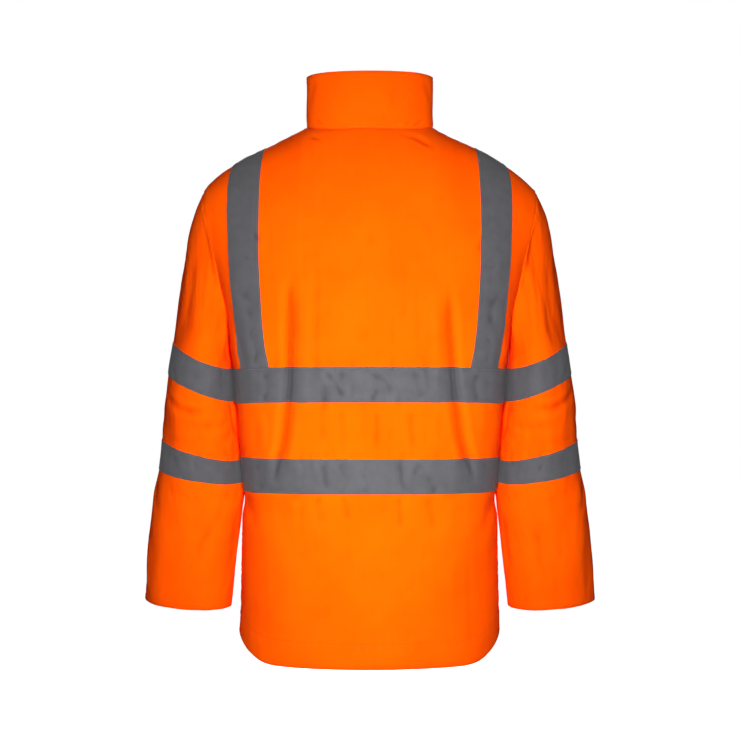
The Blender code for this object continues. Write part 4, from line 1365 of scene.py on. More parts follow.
@dataclass(frozen=True)
class SleeveCloth:
    """The cloth of one sleeve, with its creases."""

    form: SleeveForm
    side: Side
    creases: tuple[Crease, ...]
    uneven: tuple[Unevenness, ...]
    seams: SeamSizes = SeamSizes()
    cap_span: float = 0.19  # metres of cloth down the cap
    wave_radius: float = 0.13  # of the circle on which the uneven waves are read

    def grid(self, turns: Array, cap_steps: Array, heights: Array) -> Grid:
        """The creased cloth on a grid, closed around.

        Args:
            turns: As in SleeveForm.
            cap_steps: As in SleeveForm; none for a grid that lies on the tube alone.
            heights: As in SleeveForm.

        Returns:
            The grid, which runs round its columns and down its rows.
        """
        base = self.form.surface(turns, cap_steps, heights)
        steps = np.concatenate([np.asarray(cap_steps), np.ones(len(heights))])
        points = base - ways_out(base, True, 1.0) * self.sink(turns, steps[:, None], base)[..., None]
        points[..., 0] *= self.side.value
        return Grid(points, True, self.side.value)

    def sink(self, turns: Array, step: Array, base: Array) -> Array:
        """How far each place of the cloth is sunk.

        Args:
            turns: The columns.
            step: The rows of the cap, and 1 below it.
            base: The points of the left sleeve before they are sunk.

        Returns:
            The depths, by row and column.
        """
        seams, cuff = self.seams, self.form.rings[0]
        x, y, z = (base[..., k] for k in range(3))
        across = np.broadcast_to(turns * 180 * SLEEVE_TURN, z.shape)
        top = np.broadcast_to(step * self.cap_span, z.shape)
        total = np.zeros(z.shape)
        for crease in self.creases:
            for turn in (-360, 0, 360):
                total += crease.sink(across + turn * SLEEVE_TURN, z, SLEEVE_TURN)
        outward = np.broadcast_to(np.cos(turns * np.pi) * self.wave_radius, z.shape)
        behind = np.sin(turns * np.pi) * self.wave_radius
        for wave in self.uneven:
            total += wave.sink(outward, z + behind)
        total *= eased(top / seams.calm)
        deeper = (seams.armhole_depth - seams.groove_depth) * seams.below_shoulder(z)
        total += groove(top, seams.groove_depth + deeper, seams.armhole_width)
        total += seams.pucker(top, across, 61) * seams.armhole_pucker
        above = z - (self.form.cuff_z + cuff.tilt * (x - cuff.x)) + cuff.pitch * (y - cuff.y)
        line = np.abs(above - seams.cuff_line)
        total += groove(line, seams.hem_depth, seams.cuff_width) + seams.pucker(line, across, 62)
        return total


@dataclass(frozen=True)
class CollarCloth:
    """The cloth of the stand collar, with its creases."""

    form: CollarForm
    creases: tuple[Crease, ...]
    uneven: tuple[Unevenness, ...]
    seams: SeamSizes = SeamSizes()

    def grid(self, turns: Array, levels: Array) -> Grid:
        """The creased cloth on a grid.

        Args:
            turns: As in CollarForm.
            levels: As in CollarForm.

        Returns:
            The grid, which runs from the right front edge round to the left, and up.
        """
        seams = self.seams
        base = self.form.surface(turns, levels)
        length = lengths_along(base[0])
        across = np.broadcast_to(length - length[-1] / 2, base.shape[:2])
        up = base[..., 2] - base[:1, :, 2]
        total = sum(crease.sink(across, up, MM) for crease in self.creases)
        total = (total + sum(wave.sink(across, up) for wave in self.uneven)) * eased(up / seams.collar_calm)
        total += groove(up, seams.neck_depth, seams.groove_width)
        total += seams.pucker(up, across, 71) * seams.collar_pucker
        return Grid(base - ways_out(base, False, 1.0) * total[..., None], False, 1.0)


# ---------------------------------------------------------------- stitches


@dataclass(frozen=True)
class Stitching:
    """A row of lock stitches, each a small round-ended thread that is sunk a little in the cloth."""

    length: float = 0.0024
    pitch: float = 0.0033
    radius: float = 0.0003
    height: float = 0.00012
    stations: tuple[float, ...] = (-0.5, -0.3, 0.3, 0.5)  # tip, shoulder, shoulder and tip, in lengths
    lifts: tuple[float, ...] = (-0.6, 1.0, 1.0, -0.6)  # how high each stands, in heights
    crown: float = 0.8  # how high the thread's top is, in radii

    def row(self, points: Array, out: Array) -> tuple[Array, Array]:
        """Stitches along a line on the cloth.

        Args:
            points: The line's points, close together.
            out: The way out of the cloth at each.

        Returns:
            The stitches' vertices and faces.
        """
        length = lengths_along(points)
        count = max(int(length[-1] / self.pitch), 1)
        middle = (np.arange(count) + 0.5) * length[-1] / count
        ends = middle[:, None] + np.array(self.stations) * self.length
        place, up = read_line(ends, length, points), unit(read_line(ends, length, out))
        beside = unit(np.cross(up, unit(np.gradient(place, axis=1))))
        place = place + up * (np.array(self.lifts)[None, :, None] * self.height)
        ring = ((1, beside), (self.crown, up), (-1, beside), (-1, up))
        rings = [place[:, k] + share * self.radius * way[:, k] for k in (1, 2) for share, way in ring]
        vertices = np.concatenate([place[:, [0, 3]], np.stack(rings, 1)], 1)
        faces = []
        for k in range(4):
            n = (k + 1) % 4
            faces += [(0, 2 + n, 2 + k), (1, 6 + k, 6 + n), (2 + k, 2 + n, 6 + n), (2 + k, 6 + n, 6 + k)]
        starts = np.arange(count)[:, None, None] * vertices.shape[1]
        return vertices.reshape(-1, 3), (np.array(faces)[None] + starts).reshape(-1, 3)


class StitchedLines:
    """Several rows of stitches that make one piece."""

    def __init__(self, grid: Grid, above: float, rows: Sequence[tuple[Edge, float]]) -> None:
        """Starts with rows beside the edges of a cloth.

        Args:
            grid: The cloth that is sewn.
            above: How far the cloth's face is from the grid.
            rows: For each row the edge that it runs along, and how far in from it.
        """
        self.stitching = Stitching()
        self.above = above
        self.vertices: list[Array] = []
        self.faces: list[Array] = []
        for edge, inset in rows:
            self.add(grid, edge, inset)

    def add(self, grid: Grid, edge: Edge, inset: float) -> None:
        """Adds a row beside one edge of a grid.

        Args:
            grid: The cloth that is sewn.
            edge: Along which edge.
            inset: How far in from it.
        """
        level = edge in (Edge.LOW, Edge.HIGH)
        lines, outs = (values if level else values.swapaxes(0, 1) for values in (grid.points, grid.out))
        if edge in (Edge.HIGH, Edge.LAST):
            lines, outs = lines[::-1], outs[::-1]
        place, out = [], []
        for j in range(lines.shape[1]):
            length = lengths_along(lines[:, j])
            place.append(read_line(inset, length, lines[:, j]))
            out.append(read_line(inset, length, outs[:, j]))
        place, out = np.array(place), unit(np.array(out))
        if grid.closed and level:
            place, out = np.concatenate([place, place[:1]]), np.concatenate([out, out[:1]])
        else:
            length = lengths_along(place)
            keep = (length >= inset * 0.9) & (length <= length[-1] - inset * 0.9)
            place, out = place[keep], out[keep]
        self.add_line(place, out)

    def add_line(self, points: Array, out: Array) -> None:
        """Adds a row over a line in the cloth's middle.

        Args:
            points: The line's points.
            out: The way out of the cloth at each.
        """
        vertices, faces = self.stitching.row(points + out * self.above, out)
        self.faces.append(faces + sum(len(v) for v in self.vertices))
        self.vertices.append(vertices)

    def piece(self, name: str, material: Material) -> Piece:
        """All the rows as one piece."""
        return mesh_piece(name, np.concatenate(self.vertices), np.concatenate(self.faces), material)


# ---------------------------------------------------------------- finishes


class NodeSheet:
    """A short way to write a material's nodes."""

    def __init__(self, name: str) -> None:
        """Starts a material with its shader.

        Args:
            name: The material's name.
        """
        self.material = bpy.data.materials.new(name)
        self.material.use_nodes = True
        self.nodes = self.material.node_tree.nodes
        self.links = self.material.node_tree.links

    def fill(self, node: bpy.types.Node, inputs: dict) -> None:
        """Gives a node's inputs their values.

        Args:
            node: The node.
            inputs: For each input its value, or the output of another node that it is linked to.
        """
        for key, value in inputs.items():
            if isinstance(value, Socket):
                self.links.new(value, node.inputs[key])
            else:
                node.inputs[key].default_value = value

    def read(self, kind: str, inputs: dict, output: int | str = 0, **settings: str) -> Socket:
        """Adds a node.

        Args:
            kind: The kind of node.
            inputs: As in fill.
            output: Which of its outputs is wanted.
            settings: Its properties.

        Returns:
            The output.
        """
        node = self.nodes.new(kind)
        for key, value in settings.items():
            setattr(node, key, value)
        self.fill(node, inputs)
        return node.outputs[output]

    def dress(self, **inputs: object) -> Material:
        """Sets the shader's inputs by their names, and gives the finished material."""
        self.fill(self.nodes["Principled BSDF"], {key.replace("_", " "): inputs[key] for key in inputs})
        return self.material

    def math(self, operation: str, *values: object) -> Socket:
        """A sum of one to three values."""
        return self.read("ShaderNodeMath", dict(enumerate(values)), operation=operation)

    def noise(self, vector: Socket, scale: float, detail: float = 2.0) -> Socket:
        """Soft noise from 0 to 1."""
        return self.read("ShaderNodeTexNoise", {"Scale": scale, "Detail": detail, "Vector": vector}, "Fac")

    def ranged(self, *numbers: object) -> Socket:
        """A value carried from one range to another (0 to 1 if it isn't given), and kept within it."""
        return self.read("ShaderNodeMapRange", dict(enumerate(numbers)))

    def mix(self, share: object, first: object, second: object) -> Socket:
        """A colour between two colours."""
        return self.read("ShaderNodeMix", {0: share, 6: first, 7: second}, 2, data_type="RGBA")

    def mark(self, name: str) -> Socket:
        """A value that the mesh holds at each point."""
        return self.read("ShaderNodeAttribute", {}, "Fac", attribute_name=name)

    def cloth_place(self) -> Socket:
        """The place on the flat cloth, in metres."""
        return self.read("ShaderNodeUVMap", {}, uv_map=CLOTH_MAP)

    def object_place(self) -> Socket:
        """The place in the jacket, in metres."""
        return self.read("ShaderNodeTexCoord", {}, "Object")

    def bump(self, height: Socket, distance: float, **under: Socket) -> Socket:
        """A surface made uneven by a height, over another uneven surface if there is one."""
        return self.read("ShaderNodeBump", {"Strength": 1.0, "Distance": distance, "Height": height} | under)

    def rubbed(self, scale: float, low: float, most: float) -> Socket:
        """How much a cloth is rubbed at each place, up to a share: patches along its edges."""
        patches = self.ranged(self.noise(self.object_place(), scale), low, 0.7, 0.0, most)
        return self.math("MULTIPLY", self.mark("edge"), patches)

    def uneven_gloss(self, scale: float, detail: float, middle: float, swing: float) -> Socket:
        """A roughness that wanders by a swing about its middle."""
        noise = self.noise(self.object_place(), scale, detail)
        return self.ranged(noise, 0.3, 0.7, middle - swing, middle + swing)

    def weave(self, pitch: float) -> Socket:
        """A plain weave: a height from 0 to 1 that goes over and under both ways.

        Args:
            pitch: From one thread to the next.

        Returns:
            The height.
        """
        threads = []
        for axis in ("X", "Y"):
            place = self.read("ShaderNodeSeparateXYZ", {"Vector": self.cloth_place()}, axis)
            threads.append(self.math("SINE", self.math("MULTIPLY", place, np.pi / pitch)))
        return self.math("MULTIPLY_ADD", self.math("MULTIPLY", *threads), 0.5, 0.5)


@dataclass(frozen=True)
class ClothFinish:
    """Plain-woven fluorescent polyester: satiny, with a painted red glow that lifts its shaded parts."""

    name: str = "orange polyester"
    base: Colour = (0.93, 0.083, 0.0002, 1.0)
    faded: Colour = (0.93, 0.095, 0.0004, 1.0)
    inside: Colour = (0.82, 0.09, 0.006, 1.0)
    worn: Colour = (0.9, 0.1, 0.008, 1.0)
    shaded: Colour = (0.66, 0.034, 0.0, 1.0)
    # painted highlight: a lighter tone laid on the ridges of the creases
    raised: Colour = (0.94, 0.108, 0.001, 1.0)
    between: Colour = (0.8, 0.06, 0.0, 1.0)  # down between the threads
    # painted glow: a faint even red emission that lifts and reddens the shaded cloth
    glow: Colour = (1.0, 0.0, 0.0, 1.0)
    glow_strength: float = 0.08
    roughness: float = 0.74
    gloss: Colour = (1.0, 0.42, 0.06, 1.0)
    specular: float = 0.03
    sheen: float = 0.004
    sheen_roughness: float = 0.35
    thread: float = 0.00052
    thread_height: float = 0.00006
    crumple_height: float = 0.00012

    def material(self) -> Material:
        """The finish as a material."""
        sheet = NodeSheet(self.name)
        cloth, place = sheet.cloth_place(), sheet.object_place()
        outer, edge, hollow = (sheet.mark(name) for name in ("outer", "edge", "hollow"))
        weave = sheet.weave(self.thread)
        colour = sheet.mix(sheet.ranged(sheet.noise(place, 14.0, 3.0), 0.35, 0.65), self.base, self.faded)
        colour = sheet.mix(sheet.rubbed(210.0, 0.35, 0.6), colour, self.worn)
        colour = sheet.mix(sheet.ranged(hollow, 0.02, 1.0, 0.0, 0.75), colour, self.shaded)
        # painted highlight on the ridges, as the line above paints shade in the troughs
        colour = sheet.mix(sheet.ranged(hollow, -0.75, -0.15, 0.55, 0.0), colour, self.raised)
        colour = sheet.mix(sheet.math("MULTIPLY", edge, 0.5), colour, self.shaded)
        colour = sheet.mix(outer, self.inside, colour)
        colour = sheet.mix(sheet.ranged(weave, 0.0, 1.0, 0.93), self.between, colour)
        fine = sheet.bump(sheet.noise(cloth, 330.0, 3.0), self.crumple_height)
        relief = sheet.bump(weave, self.thread_height, Normal=fine)
        # the painted glow lies on the outer face, kept off the edges and seams
        painted_glow_share = sheet.ranged(sheet.math("SUBTRACT", outer, edge), 0.0, 1.0)
        glow = sheet.math("MULTIPLY", painted_glow_share, self.glow_strength)
        rough = sheet.uneven_gloss(40.0, 2.0, self.roughness, 0.05)
        return sheet.dress(
            Base_Color=colour,
            Roughness=rough,
            Normal=relief,
            Sheen_Weight=self.sheen,
            Sheen_Roughness=self.sheen_roughness,
            Specular_IOR_Level=self.specular,
            Specular_Tint=self.gloss,
            Emission_Color=self.glow,
            Emission_Strength=glow,
        )


@dataclass(frozen=True)
class TapeFinish:
    """Reflective tape: cloth with a grey face of glass beads, finer than the eye can part."""

    name: str = "reflective tape"
    face: Colour = (0.048, 0.047, 0.053, 1.0)
    scuffed: Colour = (0.038, 0.038, 0.043, 1.0)
    backing: Colour = (0.2, 0.2, 0.2, 1.0)
    shaded: Colour = (0.014, 0.014, 0.017, 1.0)
    # painted glow: a faint even grey emission that lifts the tape's shade, in place of the light its beads
    # hand back
    glow: Colour = (0.96, 0.95, 1.0, 1.0)
    glow_strength: float = 0.055
    roughness: float = 0.62
    specular: float = 0.1
    bead: float = 0.00022
    bead_height: float = 0.00002
    grain_height: float = 0.00005

    def material(self) -> Material:
        """The finish as a material."""
        sheet = NodeSheet(self.name)
        cloth, place = sheet.cloth_place(), sheet.object_place()
        outer, edge, hollow = (sheet.mark(name) for name in ("outer", "edge", "hollow"))
        beads = sheet.read("ShaderNodeTexVoronoi", {"Scale": 1 / self.bead, "Vector": cloth}, "Distance")
        colour = sheet.mix(sheet.ranged(sheet.noise(place, 58.0, 4.0), 0.36, 0.66), self.face, self.scuffed)
        colour = sheet.mix(sheet.rubbed(260.0, 0.4, 0.7), colour, self.scuffed)
        colour = sheet.mix(sheet.ranged(hollow, 0.02, 0.8, 0.0, 0.85), colour, self.shaded)
        colour = sheet.mix(sheet.math("MULTIPLY", edge, 0.25), colour, self.shaded)
        colour = sheet.mix(outer, self.backing, colour)
        grain = sheet.bump(sheet.noise(cloth, 900.0), self.grain_height)
        relief = sheet.bump(beads, self.bead_height, Normal=grain)
        rough = sheet.uneven_gloss(70.0, 3.0, self.roughness, 0.06)
        return sheet.dress(
            Base_Color=colour,
            Roughness=rough,
            Normal=relief,
            Specular_IOR_Level=self.specular,
            Emission_Color=self.glow,
            Emission_Strength=self.glow_strength,
        )


@dataclass(frozen=True)
class ThreadFinish:
    """Sewing thread with a fine twist."""

    name: str
    colour: Colour
    roughness: float = 0.55
    dark_share: float = 0.8  # how bright the hollows of the twist are
    twist_height: float = 0.00005

    def material(self) -> Material:
        """The finish as a material."""
        sheet = NodeSheet(self.name)
        dark = (*(value * self.dark_share for value in self.colour[:3]), 1.0)
        twist = sheet.noise(sheet.object_place(), 2600.0, 1.0)
        colour = sheet.mix(sheet.ranged(twist, 0.35, 0.65), self.colour, dark)
        relief = sheet.bump(twist, self.twist_height)
        return sheet.dress(Base_Color=colour, Roughness=self.roughness, Normal=relief)


@dataclass(frozen=True)
class MetalFinish:
    """Cast zip metal, plated and a little rubbed."""

    name: str = "plated zip metal"
    plate: Colour = (0.1, 0.1, 0.105, 1.0)
    rubbed: Colour = (0.15, 0.147, 0.14, 1.0)
    roughness: float = 0.47
    grain_height: float = 0.00003

    def material(self) -> Material:
        """The finish as a material."""
        sheet = NodeSheet(self.name)
        place = sheet.object_place()
        colour = sheet.mix(sheet.ranged(sheet.noise(place, 420.0, 3.0), 0.45, 0.7), self.plate, self.rubbed)
        grain = sheet.bump(sheet.noise(place, 2400.0), self.grain_height)
        rough = sheet.uneven_gloss(900.0, 2.0, self.roughness, 0.09)
        return sheet.dress(Base_Color=colour, Roughness=rough, Normal=grain, Metallic=1.0)


@dataclass(frozen=True)
class StageFinish:
    """A plain surface of the studio."""

    name: str
    colour: Colour
    glow_strength: float

    def material(self) -> Material:
        """The finish as a material."""
        return NodeSheet(self.name).dress(
            Base_Color=self.colour,
            Roughness=0.9,
            Specular_IOR_Level=0.1,
            Emission_Color=(1.0, 1.0, 1.0, 1.0),
            Emission_Strength=self.glow_strength,
        )


# ---------------------------------------------------------------- the jacket's sub-assemblies


SEAM_STEPS = (0.0006, 0.0016, 0.0034)
TAPE_STEPS = (0.0008, 0.0018)
STITCH_INSET = 0.0022
TAPE_LIFT = 0.0005 + 0.0003 + 0.00025  # from the middle of the cloth to the middle of a tape on it
EDGE_STITCH_INSET = 0.006  # beside the front's edges and the collar's


@dataclass(frozen=True)
class Fabric:
    """A kind of cloth that pieces are cut from, with the thread that it is sewn with."""

    kind: str
    shell: Shell
    finish: Material
    thread: Material
    slot: str
    held: str


class Bench:
    """Sets each piece on the body it rides on, and hides the parts that it stands for."""

    def __init__(self) -> None:
        """Makes the finishes that the pieces share."""
        orange, grey = ClothFinish().material(), TapeFinish().material()
        orange_thread = ThreadFinish("orange thread", (0.9, 0.085, 0.001, 1.0)).material()
        grey_thread = ThreadFinish("grey thread", (0.13, 0.13, 0.14, 1.0)).material()
        tape_shell = Shell(thickness=0.0005, bulge=0.0001)
        self.metal = MetalFinish().material()
        self.cloth = Fabric("cloth", Shell(), orange, orange_thread, "shell_cloth", "hung")
        self.tape = Fabric("tape", tape_shell, grey, grey_thread, "reflective_tape", "laid")

    def keep(self, piece: Piece, slot: str, *nodes: str, body: str = BODY) -> Piece:
        """Sets a piece on the body it moves with, and hides the parts that it stands for.

        Args:
            piece: The new piece.
            slot: The slot of its finish; not used.
            nodes: The nodes that it stands for.
            body: The body that it moves with.

        Returns:
            The piece.
        """
        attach(piece, body)
        if nodes:
            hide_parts(*nodes)
        LOG.info("%s: %d faces", piece.name, len(piece.data.polygons))
        return piece

    def sheet(self, piece: Piece, grid: Grid, held: str, rests_on: list[str], sewn_on: list[str]) -> None:
        """Takes a cloth's details and does nothing with them; no flat size is declared.

        Args:
            piece: The cloth; not used.
            grid: Its middle; not used.
            held: How it is held; not used.
            rests_on: What it lies on; not used.
            sewn_on: What is sewn on it; not used.
        """

    def lay(self, name: str, under: Grid, long_edges: tuple[Edge, Edge], *nodes: str) -> None:
        """Makes a tape on the cloth, with a row of stitches along each long edge.

        Args:
            name: The node that it stands for.
            under: The middle of the cloth under it.
            long_edges: Its long edges.
            nodes: The nodes of the cloths that it lies on.
        """
        grid = under.moved(TAPE_LIFT)
        lines = StitchedLines(grid, self.tape.shell.face, [(edge, STITCH_INSET) for edge in long_edges])
        self.cut(name, self.tape, grid, lines, rests_on=[f"{node}_cloth" for node in nodes])

    def cut(
        self,
        name: str,
        fabric: Fabric,
        grid: Grid,
        lines: StitchedLines,
        seams: Sequence[Edge] = (),
        rests_on: Sequence[str] = (),
    ) -> None:
        """Makes a cloth and its stitches, and sets both on the jacket's body.

        Args:
            name: The node that the cloth stands for.
            fabric: What it is cut from.
            grid: Its middle.
            lines: Its rows of stitches.
            seams: The edges that are turned in.
            rests_on: The pieces that it lies on.
        """
        piece = fabric.shell.mesh(f"{name}_{fabric.kind}", grid.turned_in(seams), fabric.finish)
        stitches = self.keep(lines.piece(f"{name}_stitches", fabric.thread), fabric.slot)
        self.keep(piece, fabric.slot, name)
        self.sheet(piece, grid, fabric.held, list(rests_on), [stitches.name])


@dataclass(frozen=True)
class Torso:
    """The back, the two fronts, the tapes on them and the braces over the shoulders."""

    bench: Bench
    form: BodyForm
    hem_span: float = 0.2435  # metres of cloth from row 0 to row 1
    band_span: float = 0.0495
    tuck_rows: float = 0.08  # how far a brace's ends lie under the bands, in rows
    tuck_depth: float = 0.0006

    @property
    def cloths(self) -> dict[Face, TorsoCloth]:
        """The creased cloth of each face."""
        patterns = {
            Face.BACK: (BACK_CREASES + BAND_CREASES + BRACE_CREASES, 0.07, (11, 12, 17)),
            Face.FRONT: (FRONT_CREASES, 0.075, (13, 14, 18)),
        }
        made = {}
        for face, (pattern, size, seeds) in patterns.items():
            sizes = ((size, 0.0007, 1.5), (0.024, 0.00018, 1.3), (0.013, 0.00014, 7.0))
            uneven = (Unevenness(wide, deep, seed, tall) for (wide, deep, tall), seed in zip(sizes, seeds))
            made[face] = TorsoCloth(self.form, face, pattern, tuple(uneven))
        return made

    @property
    def columns(self) -> Array:
        """The columns of half the body, from the middle to the side seam."""
        plain = runs((0, self.form.neck_column, 27), (self.form.neck_column, 1, 16), (1, 2, 16), (2, 3, 28))
        return with_fine_ends(plain, SEAM_STEPS, last=TorsoCloth.side_span)

    @property
    def rows(self) -> Array:
        """The rows of the body, from the hem to the neck and shoulder seams."""
        plain = runs((0, 1, 78), (1, 2, 17), (2, 3, 26), (3, 4, 17), (4, 5, 9), (5, 6, 92))
        return with_fine_ends(plain, SEAM_STEPS, self.hem_span, TorsoCloth.yoke_span)

    def whole(self, half: Array) -> Array:
        """The columns of the whole back, from the wearer's right to the left."""
        return np.concatenate([-half[:0:-1], half])

    def build(self) -> None:
        """Makes all the pieces of the torso."""
        back, front = self.cloths[Face.BACK], self.cloths[Face.FRONT]
        self.panel("back", back.grid(self.whole(self.columns), self.rows))
        for side in Side:
            grid = front.grid(np.maximum(self.columns, HAIR) * side.value, self.rows)
            self.panel(f"front_{side.label}", grid)
        half = with_fine_ends(runs((0, 1, 70), (1, 2, 25), (2, 3, 40)), TAPE_STEPS, last=TorsoCloth.side_span)
        ends = (Edge.LOW, Edge.HIGH)
        for level, first in (("upper", 3.0), ("lower", 1.0)):
            rows = with_fine_ends(runs((first, first + 1, 26)), TAPE_STEPS, self.band_span, self.band_span)
            self.bench.lay(f"{level}_band_back", back.grid(self.whole(half), rows), ends, "back")
            for side in Side:
                node = f"front_{side.label}"
                grid = front.grid(np.maximum(half, HAIR) * side.value, rows)
                self.bench.lay(f"{level}_band_{node}", grid, ends, node)
        for side in Side:
            under = self.brace(back, front, side)
            cloths = ("back", f"front_{side.label}")
            self.bench.lay(f"brace_{side.label}", under, (Edge.FIRST, Edge.LAST), *cloths)

    def brace(self, back: TorsoCloth, front: TorsoCloth, side: Side) -> Grid:
        """The strip of cloth under a brace, from the upper band behind to the one in front.

        Args:
            back: The cloth of the back.
            front: The cloth of the fronts.
            side: Which brace.

        Returns:
            The strip's middle.
        """
        rows = np.concatenate([[4 - self.tuck_rows], runs((4, 5, 10), (5, 6, 108))])
        width = self.form.brace_width
        across = with_fine_ends(runs((1, 2, 19)), TAPE_STEPS, width, width) * side.value
        behind = back.grid(across, rows)
        before = front.grid(across, rows[:-1])
        points = np.concatenate([behind.points, before.points[::-1]])
        points[[0, -1]] -= ways_out(points, False, behind.facing)[[0, -1]] * self.tuck_depth
        return Grid(points, False, behind.facing)

    def panel(self, name: str, grid: Grid) -> None:
        """Makes a panel of cloth with the stitches of its hem, and of its edge at the zip.

        Args:
            name: The node that it stands for.
            grid: Its middle.
        """
        whole = name == "back"
        rows = [(Edge.LOW, SeamSizes.hem_line)] + [(Edge.FIRST, EDGE_STITCH_INSET)] * (not whole)
        lines = StitchedLines(grid, self.bench.cloth.shell.face, rows)
        self.bench.cut(name, self.bench.cloth, grid, lines, [Edge.HIGH, Edge.LAST] + [Edge.FIRST] * whole)


@dataclass(frozen=True)
class Sleeves:
    """The two sleeves, with two bands of tape on each."""

    bench: Bench
    form: SleeveForm
    upper_band: Pair = (-0.369, -0.323)
    lower_band: Pair = (-0.498, -0.46)

    def cloth(self, side: Side) -> SleeveCloth:
        """The creased cloth of one sleeve.

        Args:
            side: Which sleeve.

        Returns:
            The cloth.
        """
        pattern, seed = (LEFT_SLEEVE_CREASES, 21) if side is Side.LEFT else (RIGHT_SLEEVE_CREASES, 31)
        uneven = (Unevenness(0.07, 0.0008, seed, 1.5), Unevenness(0.024, 0.0002, seed + 1, 1.3))
        return SleeveCloth(self.form, side, pattern + SLEEVE_BAND_CREASES, uneven)

    def turns(self, count: int) -> Array:
        """The columns round a sleeve, from its underarm round the front, the outer end and the back."""
        return -1 + (np.arange(count) + 1) * 2 / count

    def build(self) -> None:
        """Makes both sleeves and their tapes."""
        steps = with_fine_ends(runs((0, 1, 56)), SEAM_STEPS, SleeveCloth.cap_span)[:-1]
        heights = np.linspace(-self.upper_band[1], -self.form.cuff_z, 118)
        heights = -with_fine_ends(heights, SEAM_STEPS, last=1.0)
        for side in Side:
            name = f"sleeve_{side.label}"
            cloth = self.cloth(side)
            grid = cloth.grid(self.turns(122), steps, heights)
            lines = StitchedLines(grid, self.bench.cloth.shell.face, [(Edge.HIGH, cloth.seams.cuff_line)])
            self.bench.cut(name, self.bench.cloth, grid, lines, [Edge.LOW])
            for level, band in (("upper", self.upper_band), ("lower", self.lower_band)):
                rows = with_fine_ends(runs((*band, 18)), TAPE_STEPS, 1.0, 1.0)[::-1]
                under = cloth.grid(self.turns(150), np.array([]), rows)
                self.bench.lay(f"sleeve_band_{level}_{side.label}", under, (Edge.LOW, Edge.HIGH), name)


@dataclass(frozen=True)
class Collar:
    """The stand collar, with its topstitching."""

    bench: Bench
    form: CollarForm
    half_span: float = 0.25  # metres of cloth from the middle of the back to a front edge
    height: float = 0.078
    foot_inset: float = 0.002
    patch_half_width: float = 0.019
    patch_levels: Pair = (0.0125, 0.0265)

    def build(self) -> None:
        """Makes the collar."""
        uneven = (Unevenness(0.06, 0.00035, 15, 1.0), Unevenness(0.02, 0.0001, 16, 1.0))
        cloth = CollarCloth(self.form, COLLAR_CREASES, uneven)
        turns = with_fine_ends(runs((-1, 1, 150)), SEAM_STEPS, self.half_span, self.half_span)
        levels = with_fine_ends(runs((0, 1, 28)), SEAM_STEPS, self.height, self.height)
        grid = cloth.grid(turns, levels)
        edges = (Edge.HIGH, Edge.LOW, Edge.FIRST, Edge.LAST)
        rows = [(edge, self.foot_inset if edge is Edge.LOW else EDGE_STITCH_INSET) for edge in edges]
        lines = StitchedLines(grid, self.bench.cloth.shell.face, rows)
        self.patch(lines, cloth)
        self.bench.cut("collar", self.bench.cloth, grid, lines, [Edge.LOW])

    def patch(self, lines: StitchedLines, cloth: CollarCloth) -> None:
        """Adds the small rectangle of stitches at the foot of the collar, behind.

        Args:
            lines: The collar's rows of stitches.
            cloth: The collar's cloth.
        """
        half = self.patch_half_width / self.half_span
        low, high = (level / self.form.top_z for level in self.patch_levels)
        grid = cloth.grid(np.linspace(-half, half, 40), np.linspace(low, high, 20))
        for side in (np.s_[0], np.s_[-1], np.s_[:, 0], np.s_[:, -1]):
            lines.add_line(grid.points[side], grid.out[side])


@dataclass(frozen=True)
class SliderShape:
    """The sizes of the slider's plate and bridge. Metres."""

    thickness: float = 0.0016
    neck_share: float = 0.66
    lip_share: float = 0.42
    foot_radius: float = 0.0012
    lip_radius: float = 0.002
    top_radius: float = 0.0016
    bevel: float = 0.00035
    bridge_half: float = 0.003
    bridge_half_width: float = 0.001
    bridge_wall: float = 0.0008
    bridge_sunk: float = 0.0002
    bridge_power: float = 0.75
    bridge_bevel: float = 0.0002


@dataclass(frozen=True)
class TabShape:
    """The sizes of the pull tab. Metres, down from the pin's middle."""

    length: float = 0.026
    tip: float = 0.0038
    half_width: float = 0.003
    half_thickness: float = 0.00045
    window: float = 0.0045  # from the pin down to the blade
    overlap: float = 0.0004
    bevel: float = 0.00018
    hole_radius: float = 0.0018
    hole_length: float = 0.0056
    arm: Pair = (0.0016, 0.003)
    arm_bevel: float = 0.00012
    pin_radius: float = 0.0005
    pin_half_length: float = 0.0019
    pin_bevel: float = 0.00005
    ribs: int = 4
    first_rib: float = 0.007
    rib_pitch: float = 0.0016
    rib_radius: float = 0.00034
    rib_half_length: float = 0.0022
    rib_bevel: float = 0.00006


@dataclass(frozen=True)
class ToothShape:
    """A tooth of the zip: an outline across and along the chain, at four levels of its height."""

    pitch: float = 0.003
    width: float = 0.002108
    length: float = 0.002
    height: float = 0.0019
    sunk: float = 0.0003
    root: float = 0.15  # the place across that stays where it is as the outline grows
    outline: tuple[Pair, ...] = (
        (-0.55, 0.34),
        (-0.3, 0.5),
        (0.75, 0.5),
        (1.0, 0.3),
        (1.0, -0.3),
        (0.75, -0.5),
        (-0.3, -0.5),
        (-0.55, -0.34),
    )
    # each level's height and the outline's growth there
    levels: tuple[Pair, ...] = ((-0.5, 0.86), (-0.3, 1.0), (0.3, 1.0), (0.5, 0.8))

    def faces(self) -> Array:
        """The vertex numbers of one tooth's faces."""
        ring, top = len(self.outline), (len(self.levels) - 1) * len(self.outline)
        faces = []
        for start in range(0, top, ring):
            for i in range(ring):
                n = start + (i + 1) % ring
                faces.append((start + i, start + i + ring, n + ring, n))
        for start, order in ((0, 1), (top, -1)):
            for i in range(1, ring - 2, 2):
                faces.append((start, start + i, start + i + 1, start + i + 2)[::order])
        return np.array(faces)


